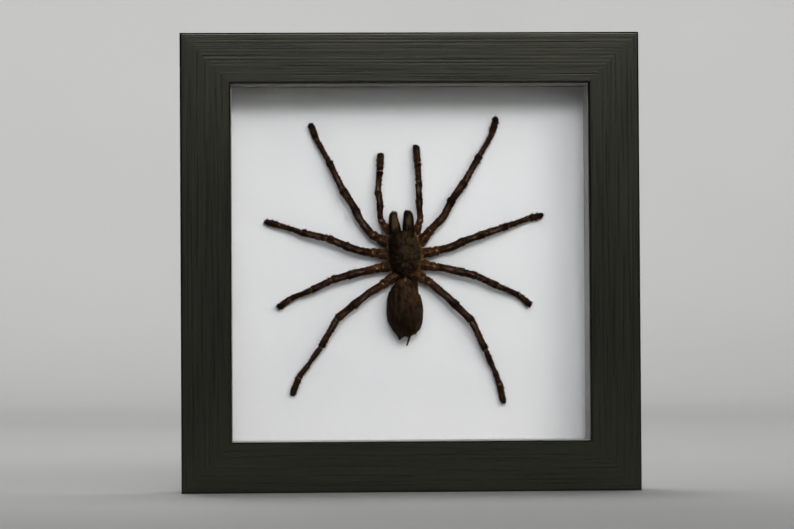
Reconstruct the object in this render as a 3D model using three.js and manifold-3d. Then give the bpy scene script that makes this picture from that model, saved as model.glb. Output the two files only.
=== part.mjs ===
// A framed tarantula: a deep box frame of four mitred rails, with a glass pane, white
// spacers, a mount card and a back board in its rebate, and a dried spider on the card.
// Millimetres, +Z up. The frame stands on its bottom edge, its glass faces -Y, and the
// origin is the middle of its footprint.

import * as THREE from 'three';
import { mergeVertices } from 'three/addons/utils/BufferGeometryUtils.js';
import Module from 'manifold-3d';

// ---------------------------------------------------------------- driving dimensions

const FRAME_SIZE = 250; // outer width and height
const FRAME_DEPTH = 40; // front face to back face
const OPENING = 195; // width and height that show inside the lip
const LIP_DEPTH = 4; // thickness of the lip that holds the glass
const LIP_COVER = 3; // how far the lip reaches over the glass on each side
const OUTER_ROUND = 1.6; // radius along the outer front edge
const LIP_CHAMFER = 0.8; // bevel along the inner front edge
const FIT_GAP = 0.2; // play between two pieces that lie against each other
const MITRE_GAP = 0.1; // play between two rails at a corner

const INSERT_SIZE = 200; // width and height of the glass, card and back board
const GLASS_THICKNESS = 2;
const SPACER_DEPTH = 24.6; // glass to card
const SPACER_THICKNESS = 2.7;
const CARD_THICKNESS = 1.5;
const BOARD_THICKNESS = 3;

const TAB_LENGTH = 14; // steel tab that holds the back board
const TAB_WIDTH = 7;
const TAB_THICKNESS = 0.6;
const TAB_BURIED = 5; // length of a tab that is in the rail
const TAB_OFFSET = 50; // each side of the middle of a rail
const TAB_PLAY = 0.2; // play around a tab in its slot

const HANGER_LENGTH = 46;
const HANGER_WIDTH = 9;
const HANGER_THICKNESS = 0.8;
const HANGER_BOW = 1.6; // how far its middle stands off the board
const HANGER_HEIGHT = 208; // above the ground
const HANGER_TEETH = 11;
const TOOTH_DEPTH = 1.6;
const NAIL_SPACING = 38;
const NAIL_RADIUS = 0.8;
const NAIL_HEAD_RADIUS = 2.2;
const NAIL_HEAD_HEIGHT = 0.9;
const NAIL_LENGTH = 2.6; // under the head
const NAIL_PLAY = 0.3;

const GLUE_RADIUS = 4.2;
const GLUE_CENTRE = { x: -2.2, z: 129.5 };
const GLUE_TOP = 1.3; // height above the card

// ---------------------------------------------------------------- places worked out

const CENTRE_HEIGHT = FRAME_SIZE / 2;
const FRONT = -FRAME_DEPTH / 2;
const RAIL_WIDTH = (FRAME_SIZE - OPENING) / 2;
const REBATE_INSET = RAIL_WIDTH - LIP_COVER; // rebate wall, from the outer edge
const GLASS_FRONT = FRONT + LIP_DEPTH + FIT_GAP;
const SPACER_FRONT = GLASS_FRONT + GLASS_THICKNESS + FIT_GAP;
const CARD_FRONT = SPACER_FRONT + SPACER_DEPTH + FIT_GAP;
const BOARD_FRONT = CARD_FRONT + CARD_THICKNESS + FIT_GAP;
const BOARD_BACK = BOARD_FRONT + BOARD_THICKNESS;
const TAB_FRONT = BOARD_BACK + FIT_GAP;
const HANGER_FRONT = BOARD_BACK + FIT_GAP;

// ---------------------------------------------------------------- materials

const paint = (color, roughness, metalness = 0) =>
  new THREE.MeshStandardMaterial({ color, roughness, metalness });

const blackWood = paint(0x2a2a26, 0.62);
const clearGlass = paint(0xe8eeee, 0.03);
clearGlass.transparent = true;
clearGlass.opacity = 0.15;
const whiteLining = paint(0xdcdcdc, 0.9);
const whiteCard = paint(0xe4e4e6, 0.95);
const brownBoard = paint(0x7a5a3c, 0.85);
const springSteel = paint(0x9a9a9a, 0.4, 1);
const brassPlate = paint(0xb08d4a, 0.45, 1);
const driedShell = paint(0x241a12, 0.55);
const driedSkin = paint(0x2c1f15, 0.7);
const clearGlue = paint(0xc8b890, 0.3);

// ---------------------------------------------------------------- helpers

const wasm = await Module();
wasm.setup();

/** Keeps only the positions of a geometry and joins the vertices that coincide. */
function closed(geometry) {
  geometry.deleteAttribute('normal');
  geometry.deleteAttribute('uv');
  return mergeVertices(geometry, 1e-4);
}

/** Turns a closed geometry into a solid that can be cut. */
function solid(geometry) {
  const merged = closed(geometry);
  return new wasm.Manifold(new wasm.Mesh({
    numProp: 3,
    vertProperties: new Float32Array(merged.attributes.position.array),
    triVerts: new Uint32Array(merged.index.array),
  }));
}

/** Cuts each tool geometry out of a body geometry. */
function cut(body, tools) {
  const result = tools.reduce((rest, tool) => rest.subtract(solid(tool)), solid(body));
  const mesh = result.getMesh();
  const geometry = new THREE.BufferGeometry();
  geometry.setAttribute('position', new THREE.BufferAttribute(mesh.vertProperties, 3));
  geometry.setIndex(new THREE.BufferAttribute(mesh.triVerts, 1));
  return geometry;
}

/** A box given by its size and the place of its middle. */
function block(width, depth, height, x, y, z) {
  return new THREE.BoxGeometry(width, depth, height).translate(x, y, z);
}

/** A flat outline in X and Z, given a thickness towards +Y from the plane y. */
function plate(outline, thickness, y) {
  return new THREE.ExtrudeGeometry(outline, {
    depth: thickness, bevelEnabled: false, curveSegments: 6,
  }).rotateX(Math.PI / 2).translate(0, y + thickness, 0);
}

/** A round pin along Y, given by a profile of [radius, y] points that starts and ends on its axis. */
function turned(profile, sides) {
  return new THREE.LatheGeometry(profile.map(([radius, y]) => new THREE.Vector2(radius, y)), sides);
}

const object = new THREE.Group();

/** Adds one named piece to a group. */
function add(name, geometry, material, parent = object) {
  const mesh = new THREE.Mesh(geometry, material);
  mesh.name = name;
  parent.add(mesh);
  return mesh;
}

// ---------------------------------------------------------------- frame rails and tabs

/** The rail's section: x runs inwards from the outer edge, y runs back from the front. */
function railSection() {
  const section = new THREE.Shape();
  section.moveTo(0, FRAME_DEPTH);
  section.lineTo(0, OUTER_ROUND);
  section.absarc(OUTER_ROUND, OUTER_ROUND, OUTER_ROUND, Math.PI, 1.5 * Math.PI, false);
  section.lineTo(RAIL_WIDTH - LIP_CHAMFER, 0);
  section.lineTo(RAIL_WIDTH, LIP_CHAMFER);
  section.lineTo(RAIL_WIDTH, LIP_DEPTH);
  section.lineTo(REBATE_INSET, LIP_DEPTH);
  section.lineTo(REBATE_INSET, FRAME_DEPTH);
  return section;
}

/** The bottom rail about the frame's middle, its two ends cut back to 45 degrees. */
function mitredRail() {
  const rail = new THREE.ExtrudeGeometry(railSection(), {
    depth: FRAME_SIZE, bevelEnabled: false, curveSegments: 5,
  });
  const place = rail.attributes.position;
  for (let i = 0; i < place.count; i += 1) {
    const inset = place.getX(i);
    const endShift = inset + MITRE_GAP;
    const along = place.getZ(i) === 0 ? endShift : FRAME_SIZE - endShift;
    place.setXYZ(i, FRAME_SIZE / 2 - along, FRONT + place.getY(i), inset - FRAME_SIZE / 2);
  }
  return rail;
}

/** A steel tab seen from behind: a point in the rail and a round end over the back board. */
function tabOutline(centre) {
  const root = FRAME_SIZE / 2 - REBATE_INSET + TAB_BURIED;
  const free = root - TAB_LENGTH;
  const half = TAB_WIDTH / 2;
  const outline = new THREE.Shape();
  outline.moveTo(centre, root);
  outline.lineTo(centre - half, root - half);
  outline.lineTo(centre - half, free + half);
  outline.absarc(centre, free + half, half, Math.PI, 2 * Math.PI, false);
  outline.lineTo(centre + half, root - half);
  return outline;
}

const slotDepth = TAB_BURIED + TAB_PLAY;
const slots = [-TAB_OFFSET, TAB_OFFSET].map((offset) => block(
  TAB_WIDTH + 2 * TAB_PLAY,
  TAB_THICKNESS + 2 * TAB_PLAY,
  2 * slotDepth,
  offset,
  TAB_FRONT + TAB_THICKNESS / 2,
  REBATE_INSET - FRAME_SIZE / 2,
));
const railGeometry = cut(mitredRail(), slots);

const SIDES = [
  { name: 'bottom', quarterTurns: 0 },
  { name: 'left', quarterTurns: 1 },
  { name: 'top', quarterTurns: 2 },
  { name: 'right', quarterTurns: 3 },
];

for (const { name, quarterTurns } of SIDES) {
  const side = new THREE.Group();
  side.position.z = CENTRE_HEIGHT;
  side.rotation.y = (quarterTurns * Math.PI) / 2;
  object.add(side);
  add(`frame_rail_${name}`, railGeometry.clone(), blackWood, side);
  [-TAB_OFFSET, TAB_OFFSET].forEach((offset, index) => {
    const tab = plate(tabOutline(offset), TAB_THICKNESS, TAB_FRONT);
    add(`tab_${name}_${index + 1}`, tab, springSteel, side);
  });
}

// ---------------------------------------------------------------- glass, spacers, card, board

add('glass_pane', block(
  INSERT_SIZE, GLASS_THICKNESS, INSERT_SIZE,
  0, GLASS_FRONT + GLASS_THICKNESS / 2, CENTRE_HEIGHT,
), clearGlass);

const spacerReach = (INSERT_SIZE - SPACER_THICKNESS) / 2;
const spacerMiddle = SPACER_FRONT + SPACER_DEPTH / 2;
const shortSpacer = INSERT_SIZE - 2 * SPACER_THICKNESS - 2 * FIT_GAP;
for (const [name, direction] of [['top', 1], ['bottom', -1]]) {
  add(`spacer_${name}`, block(
    INSERT_SIZE, SPACER_DEPTH, SPACER_THICKNESS,
    0, spacerMiddle, CENTRE_HEIGHT + direction * spacerReach,
  ), whiteLining);
}
for (const [name, direction] of [['left', -1], ['right', 1]]) {
  add(`spacer_${name}`, block(
    SPACER_THICKNESS, SPACER_DEPTH, shortSpacer,
    direction * spacerReach, spacerMiddle, CENTRE_HEIGHT,
  ), whiteLining);
}

add('mount_card', block(
  INSERT_SIZE, CARD_THICKNESS, INSERT_SIZE,
  0, CARD_FRONT + CARD_THICKNESS / 2, CENTRE_HEIGHT,
), whiteCard);

/** A clearance hole for one hanger nail, from the back face of the board inwards. */
function nailHole(x, depthInwards, depthOutwards) {
  const radius = NAIL_RADIUS + NAIL_PLAY;
  const hole = turned([
    [0, BOARD_BACK - depthInwards],
    [radius, BOARD_BACK - depthInwards],
    [radius, BOARD_BACK + depthOutwards],
    [0, BOARD_BACK + depthOutwards],
  ], 10);
  return hole.translate(x, 0, HANGER_HEIGHT);
}

const nailPlaces = [-NAIL_SPACING / 2, NAIL_SPACING / 2];
const nailHead = HANGER_FRONT + HANGER_THICKNESS + FIT_GAP;
const holeDepth = NAIL_LENGTH - (nailHead - BOARD_BACK) + FIT_GAP;
add('back_board', cut(
  block(
    INSERT_SIZE, BOARD_THICKNESS, INSERT_SIZE,
    0, BOARD_FRONT + BOARD_THICKNESS / 2, CENTRE_HEIGHT,
  ),
  nailPlaces.map((x) => nailHole(x, holeDepth, 1)),
), brownBoard);

// ---------------------------------------------------------------- sawtooth hanger and its nails

/** The hanger's strip seen from behind, with teeth along the middle of its lower edge. */
function hangerOutline() {
  const half = HANGER_LENGTH / 2;
  const toothed = NAIL_SPACING / 2 - 4;
  const pitch = (2 * toothed) / HANGER_TEETH;
  const outline = new THREE.Shape();
  outline.moveTo(half, HANGER_WIDTH / 2);
  outline.lineTo(half, -HANGER_WIDTH / 2);
  for (let tooth = HANGER_TEETH; tooth >= 0; tooth -= 1) {
    outline.lineTo(-toothed + tooth * pitch, -HANGER_WIDTH / 2);
  }
  outline.lineTo(-half, -HANGER_WIDTH / 2);
  outline.lineTo(-half, HANGER_WIDTH / 2);
  outline.lineTo(-toothed, HANGER_WIDTH / 2);
  for (let tooth = 0; tooth < HANGER_TEETH; tooth += 1) {
    const start = -toothed + tooth * pitch;
    outline.lineTo(start + pitch / 2, HANGER_WIDTH / 2 - TOOTH_DEPTH);
    outline.lineTo(start + pitch, HANGER_WIDTH / 2);
  }
  return outline;
}

/** Bows the middle of the hanger off the board, so that a wall hook's head fits under it. */
function bowed(geometry) {
  const place = geometry.attributes.position;
  const flat = NAIL_SPACING / 2 - 4;
  for (let i = 0; i < place.count; i += 1) {
    const x = Math.min(Math.abs(place.getX(i)), flat);
    const lift = HANGER_BOW * (1 + Math.cos((Math.PI * x) / flat)) / 2;
    place.setY(i, place.getY(i) + lift);
  }
  return geometry;
}

const hangerStrip = bowed(plate(hangerOutline(), HANGER_THICKNESS, HANGER_FRONT));
add('hanger', cut(
  hangerStrip.translate(0, 0, HANGER_HEIGHT),
  nailPlaces.map((x) => nailHole(x, -FIT_GAP / 2, 4)),
), brassPlate);

nailPlaces.forEach((x, index) => {
  const nail = turned([
    [0, nailHead - NAIL_LENGTH],
    [NAIL_RADIUS, nailHead - NAIL_LENGTH + 0.6],
    [NAIL_RADIUS, nailHead],
    [NAIL_HEAD_RADIUS, nailHead],
    [NAIL_HEAD_RADIUS * 0.72, nailHead + NAIL_HEAD_HEIGHT * 0.75],
    [0, nailHead + NAIL_HEAD_HEIGHT],
  ], 10).translate(x, 0, HANGER_HEIGHT);
  add(`hanger_nail_${index + 1}`, nail, brassPlate);
});

// ---------------------------------------------------------------- spider

// A station is one ring of a body or limb: x and z are places on the card, high is its
// middle's height above the card, wide is half its width and deep is half its depth.
const station = (x, z, high, wide, deep = wide) => ({ x, z, high, wide, deep });

/** A closed body through the given stations: its near end is flat, its far end domed by cap. */
function lofted(stations, sides, cap = 0.5) {
  const last = stations.length - 1;
  const outwards = new THREE.Vector3(0, -1, 0);
  const centres = stations.map((s) => new THREE.Vector3(s.x, CARD_FRONT - s.high, s.z));
  const body = new THREE.CylinderGeometry(1, 1, last, sides, last);
  const place = body.attributes.position;
  for (let i = 0; i < place.count; i += 1) {
    const ring = Math.round(last / 2 - place.getY(i));
    const before = centres[Math.max(ring - 1, 0)];
    const after = centres[Math.min(ring + 1, last)];
    const along = after.clone().sub(before).normalize();
    const across = outwards.clone().cross(along).normalize();
    const up = along.clone().cross(across);
    const { wide, deep } = stations[ring];
    const point = centres[ring].clone();
    point.addScaledVector(across, place.getX(i) * wide);
    point.addScaledVector(up, place.getZ(i) * deep);
    const onAxis = Math.hypot(place.getX(i), place.getZ(i)) < 0.5;
    if (onAxis && ring === last) {
      point.addScaledVector(along, cap * Math.min(wide, deep));
    }
    place.setXYZ(i, point.x, point.y, point.z);
  }
  return closed(body);
}

add('glue_dab', turned([
  [0, CARD_FRONT - GLUE_TOP],
  [GLUE_RADIUS * 0.7, CARD_FRONT - GLUE_TOP],
  [GLUE_RADIUS, CARD_FRONT - FIT_GAP],
  [0, CARD_FRONT - FIT_GAP],
], 14).translate(GLUE_CENTRE.x, 0, GLUE_CENTRE.z), clearGlue);

add('cephalothorax', lofted([
  station(-3.1, 142.7, 6.3, 7.0, 3.4),
  station(-3.1, 140.3, 6.4, 7.6, 4.3),
  station(-2.8, 137.1, 6.4, 8.8, 4.7),
  station(-2.2, 132.8, 6.4, 9.7, 4.8),
  station(-2.2, 128.3, 6.3, 9.8, 4.7),
  station(-2.3, 123.5, 6.2, 8.6, 4.2),
  station(-2.2, 119.9, 6.0, 6.0, 3.2),
  station(-2.3, 118.3, 5.8, 3.0, 1.8),
], 14, 0), driedShell);

add('pedicel', lofted([
  station(-1.9, 117.8, 5.4, 1.4, 1.1),
  station(-1.8, 115.9, 5.4, 1.4, 1.1),
], 8, 0), driedSkin);

add('abdomen', lofted([
  station(-1.2, 115.4, 6.3, 3.4, 2.6),
  station(-1.4, 112.9, 6.6, 6.0, 4.4),
  station(-2.8, 107.9, 7.2, 8.1, 5.7),
  station(-2.8, 102.7, 7.4, 9.5, 6.0),
  station(-2.6, 97.7, 7.3, 10.2, 5.9),
  station(-2.3, 92.9, 7.0, 9.9, 5.4),
  station(-2.0, 88.5, 6.5, 8.1, 4.6),
  station(-2.3, 85.2, 6.0, 5.2, 3.3),
  station(-2.6, 83.9, 5.8, 3.0, 2.0),
], 14, 0), driedSkin);

add('chelicera_left', lofted([
  station(-7.5, 143.4, 6.8, 2.8, 3.2),
  station(-7.6, 145.7, 6.9, 3.0, 3.6),
  station(-8.1, 149.3, 6.5, 2.6, 3.3),
  station(-8.7, 152.1, 5.8, 2.0, 2.5),
], 10), driedShell);

add('chelicera_right', lofted([
  station(-0.4, 143.4, 6.8, 2.8, 3.2),
  station(-0.3, 145.7, 7.0, 3.0, 3.6),
  station(-0.2, 149.7, 6.5, 2.7, 3.3),
  station(-0.3, 152.8, 5.8, 2.1, 2.5),
], 10), driedShell);

add('spinneret_long', lofted([
  station(-0.1, 83.0, 5.2, 0.55),
  station(-0.7, 81.5, 4.6, 0.6),
  station(-1.4, 79.5, 3.8, 0.4),
], 7), driedSkin);

add('spinneret_short', lofted([
  station(-5.2, 83.2, 5.4, 0.7),
  station(-5.9, 82.2, 5.0, 0.5),
], 7), driedSkin);

// Half widths of a limb's segments, in order from the body to the tip.
const LEG_GIRTH = {
  coxa: 2.6, trochanter: 2.4, femurBase: 2.3, femur: 2.3, patella: 2.1, tibia: 1.9,
  metatarsus: 1.6, tarsus: 1.65,
};
const PALP_GIRTH = {
  coxa: 2.0, trochanter: 1.7, femur: 1.7, patella: 1.85, tibia: 1.65, tarsus: 1.75,
};

/**
 * The stations of a limb. Joints holds one [x, z, height] per joint, from the body to the
 * tip, and girth one half width per segment. A segment is slim at its near end, full along
 * its middle and widest just before the next joint.
 */
function limbStations(joints, girth) {
  const widths = Object.values(girth);
  const stations = [];
  widths.forEach((width, segment) => {
    const from = new THREE.Vector3(...joints[segment]);
    const to = new THREE.Vector3(...joints[segment + 1]);
    for (const [share, fullness] of [[0.08, 0.84], [0.45, 0.95], [0.88, 1]]) {
      const { x, y, z } = from.clone().lerp(to, share);
      stations.push(station(x, y, z, width * fullness));
    }
  });
  return stations;
}

// Each leg's joints: body, coxa, trochanter, bend of the femur, femur, patella, tibia,
// metatarsus, tip of the tarsus. The feet touch the card and the knees stand off it.
const LEG_JOINTS = {
  leg_1_left: [
    [-11.9, 136.2, 4.2], [-16.4, 138.4, 4.4], [-20.4, 141.0, 4.6], [-26.6, 148.2, 5.3],
    [-29.4, 154.8, 5.7], [-36.2, 165.3, 5.7], [-43.8, 181.0, 4.8], [-50.2, 193.0, 2.6],
    [-54.1, 202.2, 2.1],
  ],
  leg_1_right: [
    [7.4, 137.2, 4.2], [9.6, 140.4, 4.4], [12.4, 143.4, 4.6], [19.3, 150.2, 5.3],
    [24.2, 160.1, 5.7], [31.1, 169.6, 5.7], [39.5, 184.3, 4.8], [46.4, 196.0, 2.6],
    [48.8, 205.7, 2.1],
  ],
  leg_2_left: [
    [-12.0, 129.8, 4.2], [-17.0, 130.3, 4.4], [-20.9, 130.9, 4.6], [-28.8, 132.2, 5.1],
    [-35.6, 135.0, 5.6], [-44.5, 138.6, 5.5], [-59.2, 142.2, 4.4], [-70.9, 146.0, 2.5],
    [-79.7, 148.5, 2.1],
  ],
  leg_2_right: [
    [7.7, 130.4, 4.2], [12.8, 131.2, 4.4], [16.3, 131.9, 4.6], [22.6, 133.2, 5.1],
    [30.5, 136.9, 5.6], [41.5, 140.8, 5.5], [54.7, 145.2, 4.4], [66.2, 149.3, 2.5],
    [74.8, 151.2, 2.1],
  ],
  leg_3_left: [
    [-11.8, 123.2, 4.2], [-15.3, 122.5, 4.4], [-18.7, 121.8, 4.6], [-26.5, 120.2, 5.1],
    [-33.9, 118.3, 5.5], [-42.1, 116.0, 5.5], [-53.5, 110.5, 4.6], [-65.4, 105.7, 2.5],
    [-72.4, 100.5, 2.1],
  ],
  leg_3_right: [
    [7.6, 124.0, 4.2], [11.2, 123.4, 4.4], [14.7, 122.9, 4.6], [23.0, 121.3, 5.1],
    [30.6, 119.4, 5.5], [37.2, 117.7, 5.5], [48.8, 112.1, 4.6], [60.4, 107.2, 2.5],
    [67.5, 101.1, 2.1],
  ],
  leg_4_left: [
    [-8.6, 117.2, 4.2], [-11.8, 114.9, 4.4], [-15.2, 112.9, 4.6], [-23.5, 107.7, 5.2],
    [-31.3, 101.4, 5.7], [-39.6, 94.7, 5.6], [-48.7, 79.1, 4.8], [-60.8, 62.3, 2.6],
    [-64.8, 52.0, 2.1],
  ],
  leg_4_right: [
    [5.0, 118.3, 4.2], [8.3, 116.0, 4.4], [11.9, 113.7, 4.6], [19.5, 107.6, 5.2],
    [26.4, 100.9, 5.7], [34.4, 93.0, 5.6], [41.8, 77.0, 4.8], [49.8, 58.4, 2.6],
    [52.1, 47.0, 2.1],
  ],
};

// Each palp's joints: body, coxa, trochanter, femur, patella, tibia, tip of the tarsus.
const PALP_JOINTS = {
  palp_left: [
    [-11.9, 143.7, 4.8], [-13.7, 146.1, 5.0], [-15.7, 149.2, 5.2], [-15.6, 157.0, 5.6],
    [-16.8, 164.5, 5.4], [-15.8, 175.5, 4.3], [-15.1, 185.9, 2.3],
  ],
  palp_right: [
    [4.9, 143.3, 4.8], [5.4, 145.9, 5.0], [6.4, 149.2, 5.2], [5.8, 160.7, 5.6],
    [5.7, 168.8, 5.4], [5.1, 179.9, 4.3], [4.4, 190.5, 2.3],
  ],
};

for (const [name, joints] of Object.entries(LEG_JOINTS)) {
  add(name, lofted(limbStations(joints, LEG_GIRTH), 8), driedSkin);
}
for (const [name, joints] of Object.entries(PALP_JOINTS)) {
  add(name, lofted(limbStations(joints, PALP_GIRTH), 8), driedSkin);
}

export default object;
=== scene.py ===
"""A framed tarantula: the looks of its box frame, its lining and its dried spider.

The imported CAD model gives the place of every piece. Sizes are metres, the frame stands on
z = 0 and its glass faces -Y. The spider is modelled lying on a bench, with its back up and
its head towards +Y, and is then stood up against its card.
"""

import logging
import math
import random
from collections.abc import Callable, Iterator, Sequence
from contextlib import contextmanager
from dataclasses import dataclass, field
from enum import Enum

import bmesh
import bpy
import numpy as np
from mathutils import Matrix, Quaternion, Vector


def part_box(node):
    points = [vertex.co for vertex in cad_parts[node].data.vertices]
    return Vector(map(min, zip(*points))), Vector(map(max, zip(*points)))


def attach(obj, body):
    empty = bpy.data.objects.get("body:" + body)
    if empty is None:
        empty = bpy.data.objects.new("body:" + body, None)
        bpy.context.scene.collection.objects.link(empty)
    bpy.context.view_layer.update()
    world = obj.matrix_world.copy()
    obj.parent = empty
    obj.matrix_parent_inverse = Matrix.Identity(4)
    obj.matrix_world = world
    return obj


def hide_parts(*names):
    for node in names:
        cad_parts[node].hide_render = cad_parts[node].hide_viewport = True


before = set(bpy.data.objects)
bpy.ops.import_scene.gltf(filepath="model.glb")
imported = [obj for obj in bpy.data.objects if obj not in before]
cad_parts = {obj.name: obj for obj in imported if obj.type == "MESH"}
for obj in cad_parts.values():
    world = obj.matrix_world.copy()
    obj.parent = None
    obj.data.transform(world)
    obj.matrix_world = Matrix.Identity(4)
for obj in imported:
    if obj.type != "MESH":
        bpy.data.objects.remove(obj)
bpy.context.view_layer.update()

MM = 0.001
CLOSE = 0.01 * MM
DOUBLES = 0.001 * MM
BODY = "root"
log = logging.getLogger("framed_tarantula")

Colour = tuple[float, float, float]
Place = tuple[float, float, float]


def mm(*values: float) -> tuple[float, ...]:
    """Gives lengths written in millimetres back in metres."""
    return tuple(value * MM for value in values)


# --------------------------------------------------------------------------- the bench


def deselect_all() -> None:
    """Leaves nothing selected, in object mode."""
    if bpy.context.object is not None and bpy.context.object.mode != "OBJECT":
        bpy.ops.object.mode_set(mode="OBJECT")
    bpy.ops.object.select_all(action="DESELECT")


def pick(piece: bpy.types.Object) -> None:
    """Makes one object the only selected one, and the active one."""
    deselect_all()
    piece.select_set(True)
    bpy.context.view_layer.objects.active = piece


def start(name: str, primitive: Callable[..., set], **settings: object) -> bpy.types.Object:
    """Adds a primitive to start a piece from.

    Args:
        name: The piece's name.
        primitive: The operator that adds the primitive.
        settings: What the operator is given.

    Returns:
        The new object at the origin, selected and active, with its place in its mesh.
    """
    deselect_all()
    primitive(**settings)
    bpy.ops.object.transform_apply(location=True, rotation=True, scale=True)
    piece = bpy.context.object
    piece.name = piece.data.name = name
    return piece


def block(node: str, name: str) -> bpy.types.Object:
    """Adds a box in the place of a CAD node and as large as it."""
    low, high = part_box(node)
    return start(
        name, bpy.ops.mesh.primitive_cube_add, size=1.0, location=(low + high) / 2,
        scale=high - low,
    )


@contextmanager
def editing(piece: bpy.types.Object) -> Iterator[None]:
    """Opens a piece in edit mode, and closes it again."""
    pick(piece)
    bpy.ops.object.mode_set(mode="EDIT")
    try:
        yield
    finally:
        bpy.ops.object.mode_set(mode="OBJECT")


class Element(Enum):
    """What an edit-mode selection is made of."""

    EDGES = "EDGE"
    FACES = "FACE"


def choose(piece: bpy.types.Object, element: Element, test: Callable[..., bool]) -> None:
    """Selects the elements of the piece in edit mode that pass a test.

    Args:
        piece: The piece in edit mode.
        element: Whether edges or faces are tested.
        test: Says of one bmesh element whether it is selected.
    """
    bpy.ops.mesh.select_mode(type=element.value)
    bpy.ops.mesh.select_all(action="DESELECT")
    mesh = bmesh.from_edit_mesh(piece.data)
    for part in mesh.edges if element is Element.EDGES else mesh.faces:
        if test(part):
            part.select_set(True)
    mesh.select_flush_mode()
    bmesh.update_edit_mesh(piece.data)


def choose_all() -> None:
    """Selects the whole of the piece in edit mode."""
    bpy.ops.mesh.select_all(action="SELECT")


def pull(*move: float) -> None:
    """Extrudes what is selected in edit mode, and moves the new part."""
    bpy.ops.mesh.extrude_region_move(TRANSFORM_OT_translate={"value": move})


def modify(piece: bpy.types.Object, kind: str, **settings: object) -> None:
    """Adds a modifier with the given settings and applies it."""
    pick(piece)
    modifier = piece.modifiers.new(kind.lower(), kind)
    for key, value in settings.items():
        setattr(modifier, key, value)
    bpy.ops.object.modifier_apply(modifier=modifier.name)


def refine(piece: bpy.types.Object, levels: int) -> None:
    """Rounds a piece with a subdivision surface and applies it."""
    modify(piece, "SUBSURF", levels=levels, render_levels=levels)


def roughen(piece: bpy.types.Object, size: float, height: float) -> None:
    """Moves a piece's surface in and out by a cloudy noise.

    Args:
        piece: The piece, finely divided already.
        size: The size of the noise's clouds.
        height: How far out the highest places come; the lowest go as far in.
    """
    clouds = bpy.data.textures.new("clouds", "CLOUDS")
    clouds.noise_scale = size
    clouds.noise_depth = 3
    modify(
        piece, "DISPLACE", texture=clouds, texture_coords="LOCAL",
        strength=2 * height, mid_level=0.5,
    )


def close_up(piece: bpy.types.Object) -> None:
    """Merges doubles and turns every face outwards."""
    with editing(piece):
        choose_all()
        bpy.ops.mesh.remove_doubles(threshold=DOUBLES)
        bpy.ops.mesh.normals_make_consistent(inside=False)


def smooth(piece: bpy.types.Object, degrees: float = 40.0) -> None:
    """Shades a piece smooth, except across edges sharper than the given angle."""
    pick(piece)
    bpy.ops.object.shade_smooth_by_angle(angle=math.radians(degrees))


def places(piece: bpy.types.Object) -> np.ndarray:
    """Gives every vertex's place as an array of rows."""
    flat = np.empty(len(piece.data.vertices) * 3, np.float32)
    piece.data.vertices.foreach_get("co", flat)
    return flat.reshape(-1, 3).astype(float)


def normals(piece: bpy.types.Object) -> np.ndarray:
    """Gives every vertex's normal as an array of rows."""
    flat = np.empty(len(piece.data.vertices) * 3, np.float32)
    piece.data.vertex_normals.foreach_get("vector", flat)
    return flat.reshape(-1, 3).astype(float)


def put(piece: bpy.types.Object, rows: np.ndarray) -> None:
    """Puts every vertex at the place that its row gives."""
    piece.data.vertices.foreach_set("co", rows.astype(np.float32).ravel())
    piece.data.update()


def note(piece: bpy.types.Object, name: str, values: np.ndarray) -> None:
    """Writes one number or one vector for each vertex into an attribute of the piece."""
    vector = values.ndim == 2
    kind, key = ("FLOAT_VECTOR", "vector") if vector else ("FLOAT", "value")
    layer = piece.data.attributes.new(name, kind, "POINT")
    layer.data.foreach_set(key, values.astype(np.float32).ravel())


def copy_of(piece: bpy.types.Object, name: str) -> bpy.types.Object:
    """Copies a piece together with its mesh."""
    twin = piece.copy()
    twin.data = piece.data.copy()
    twin.name = twin.data.name = name
    bpy.context.scene.collection.objects.link(twin)
    return twin


def dress(piece: bpy.types.Object, material: bpy.types.Material) -> None:
    """Gives a piece one material in place of any that it has."""
    piece.data.materials.clear()
    piece.data.materials.append(material)


def hand_in(
    piece: bpy.types.Object, finish: bpy.types.Material, slot: str, *nodes: str
) -> None:
    """Dresses a finished piece and puts it on the model.

    Args:
        piece: The piece, in its place.
        finish: Its material.
        slot: The material slot that its finish belongs to; not used.
        nodes: The CAD nodes that it stands for.
    """
    dress(piece, finish)
    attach(piece, BODY)
    if nodes:
        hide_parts(*nodes)
    log.info("%-22s %7d faces", piece.name, len(piece.data.polygons))


# --------------------------------------------------------------------------- finishes


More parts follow.
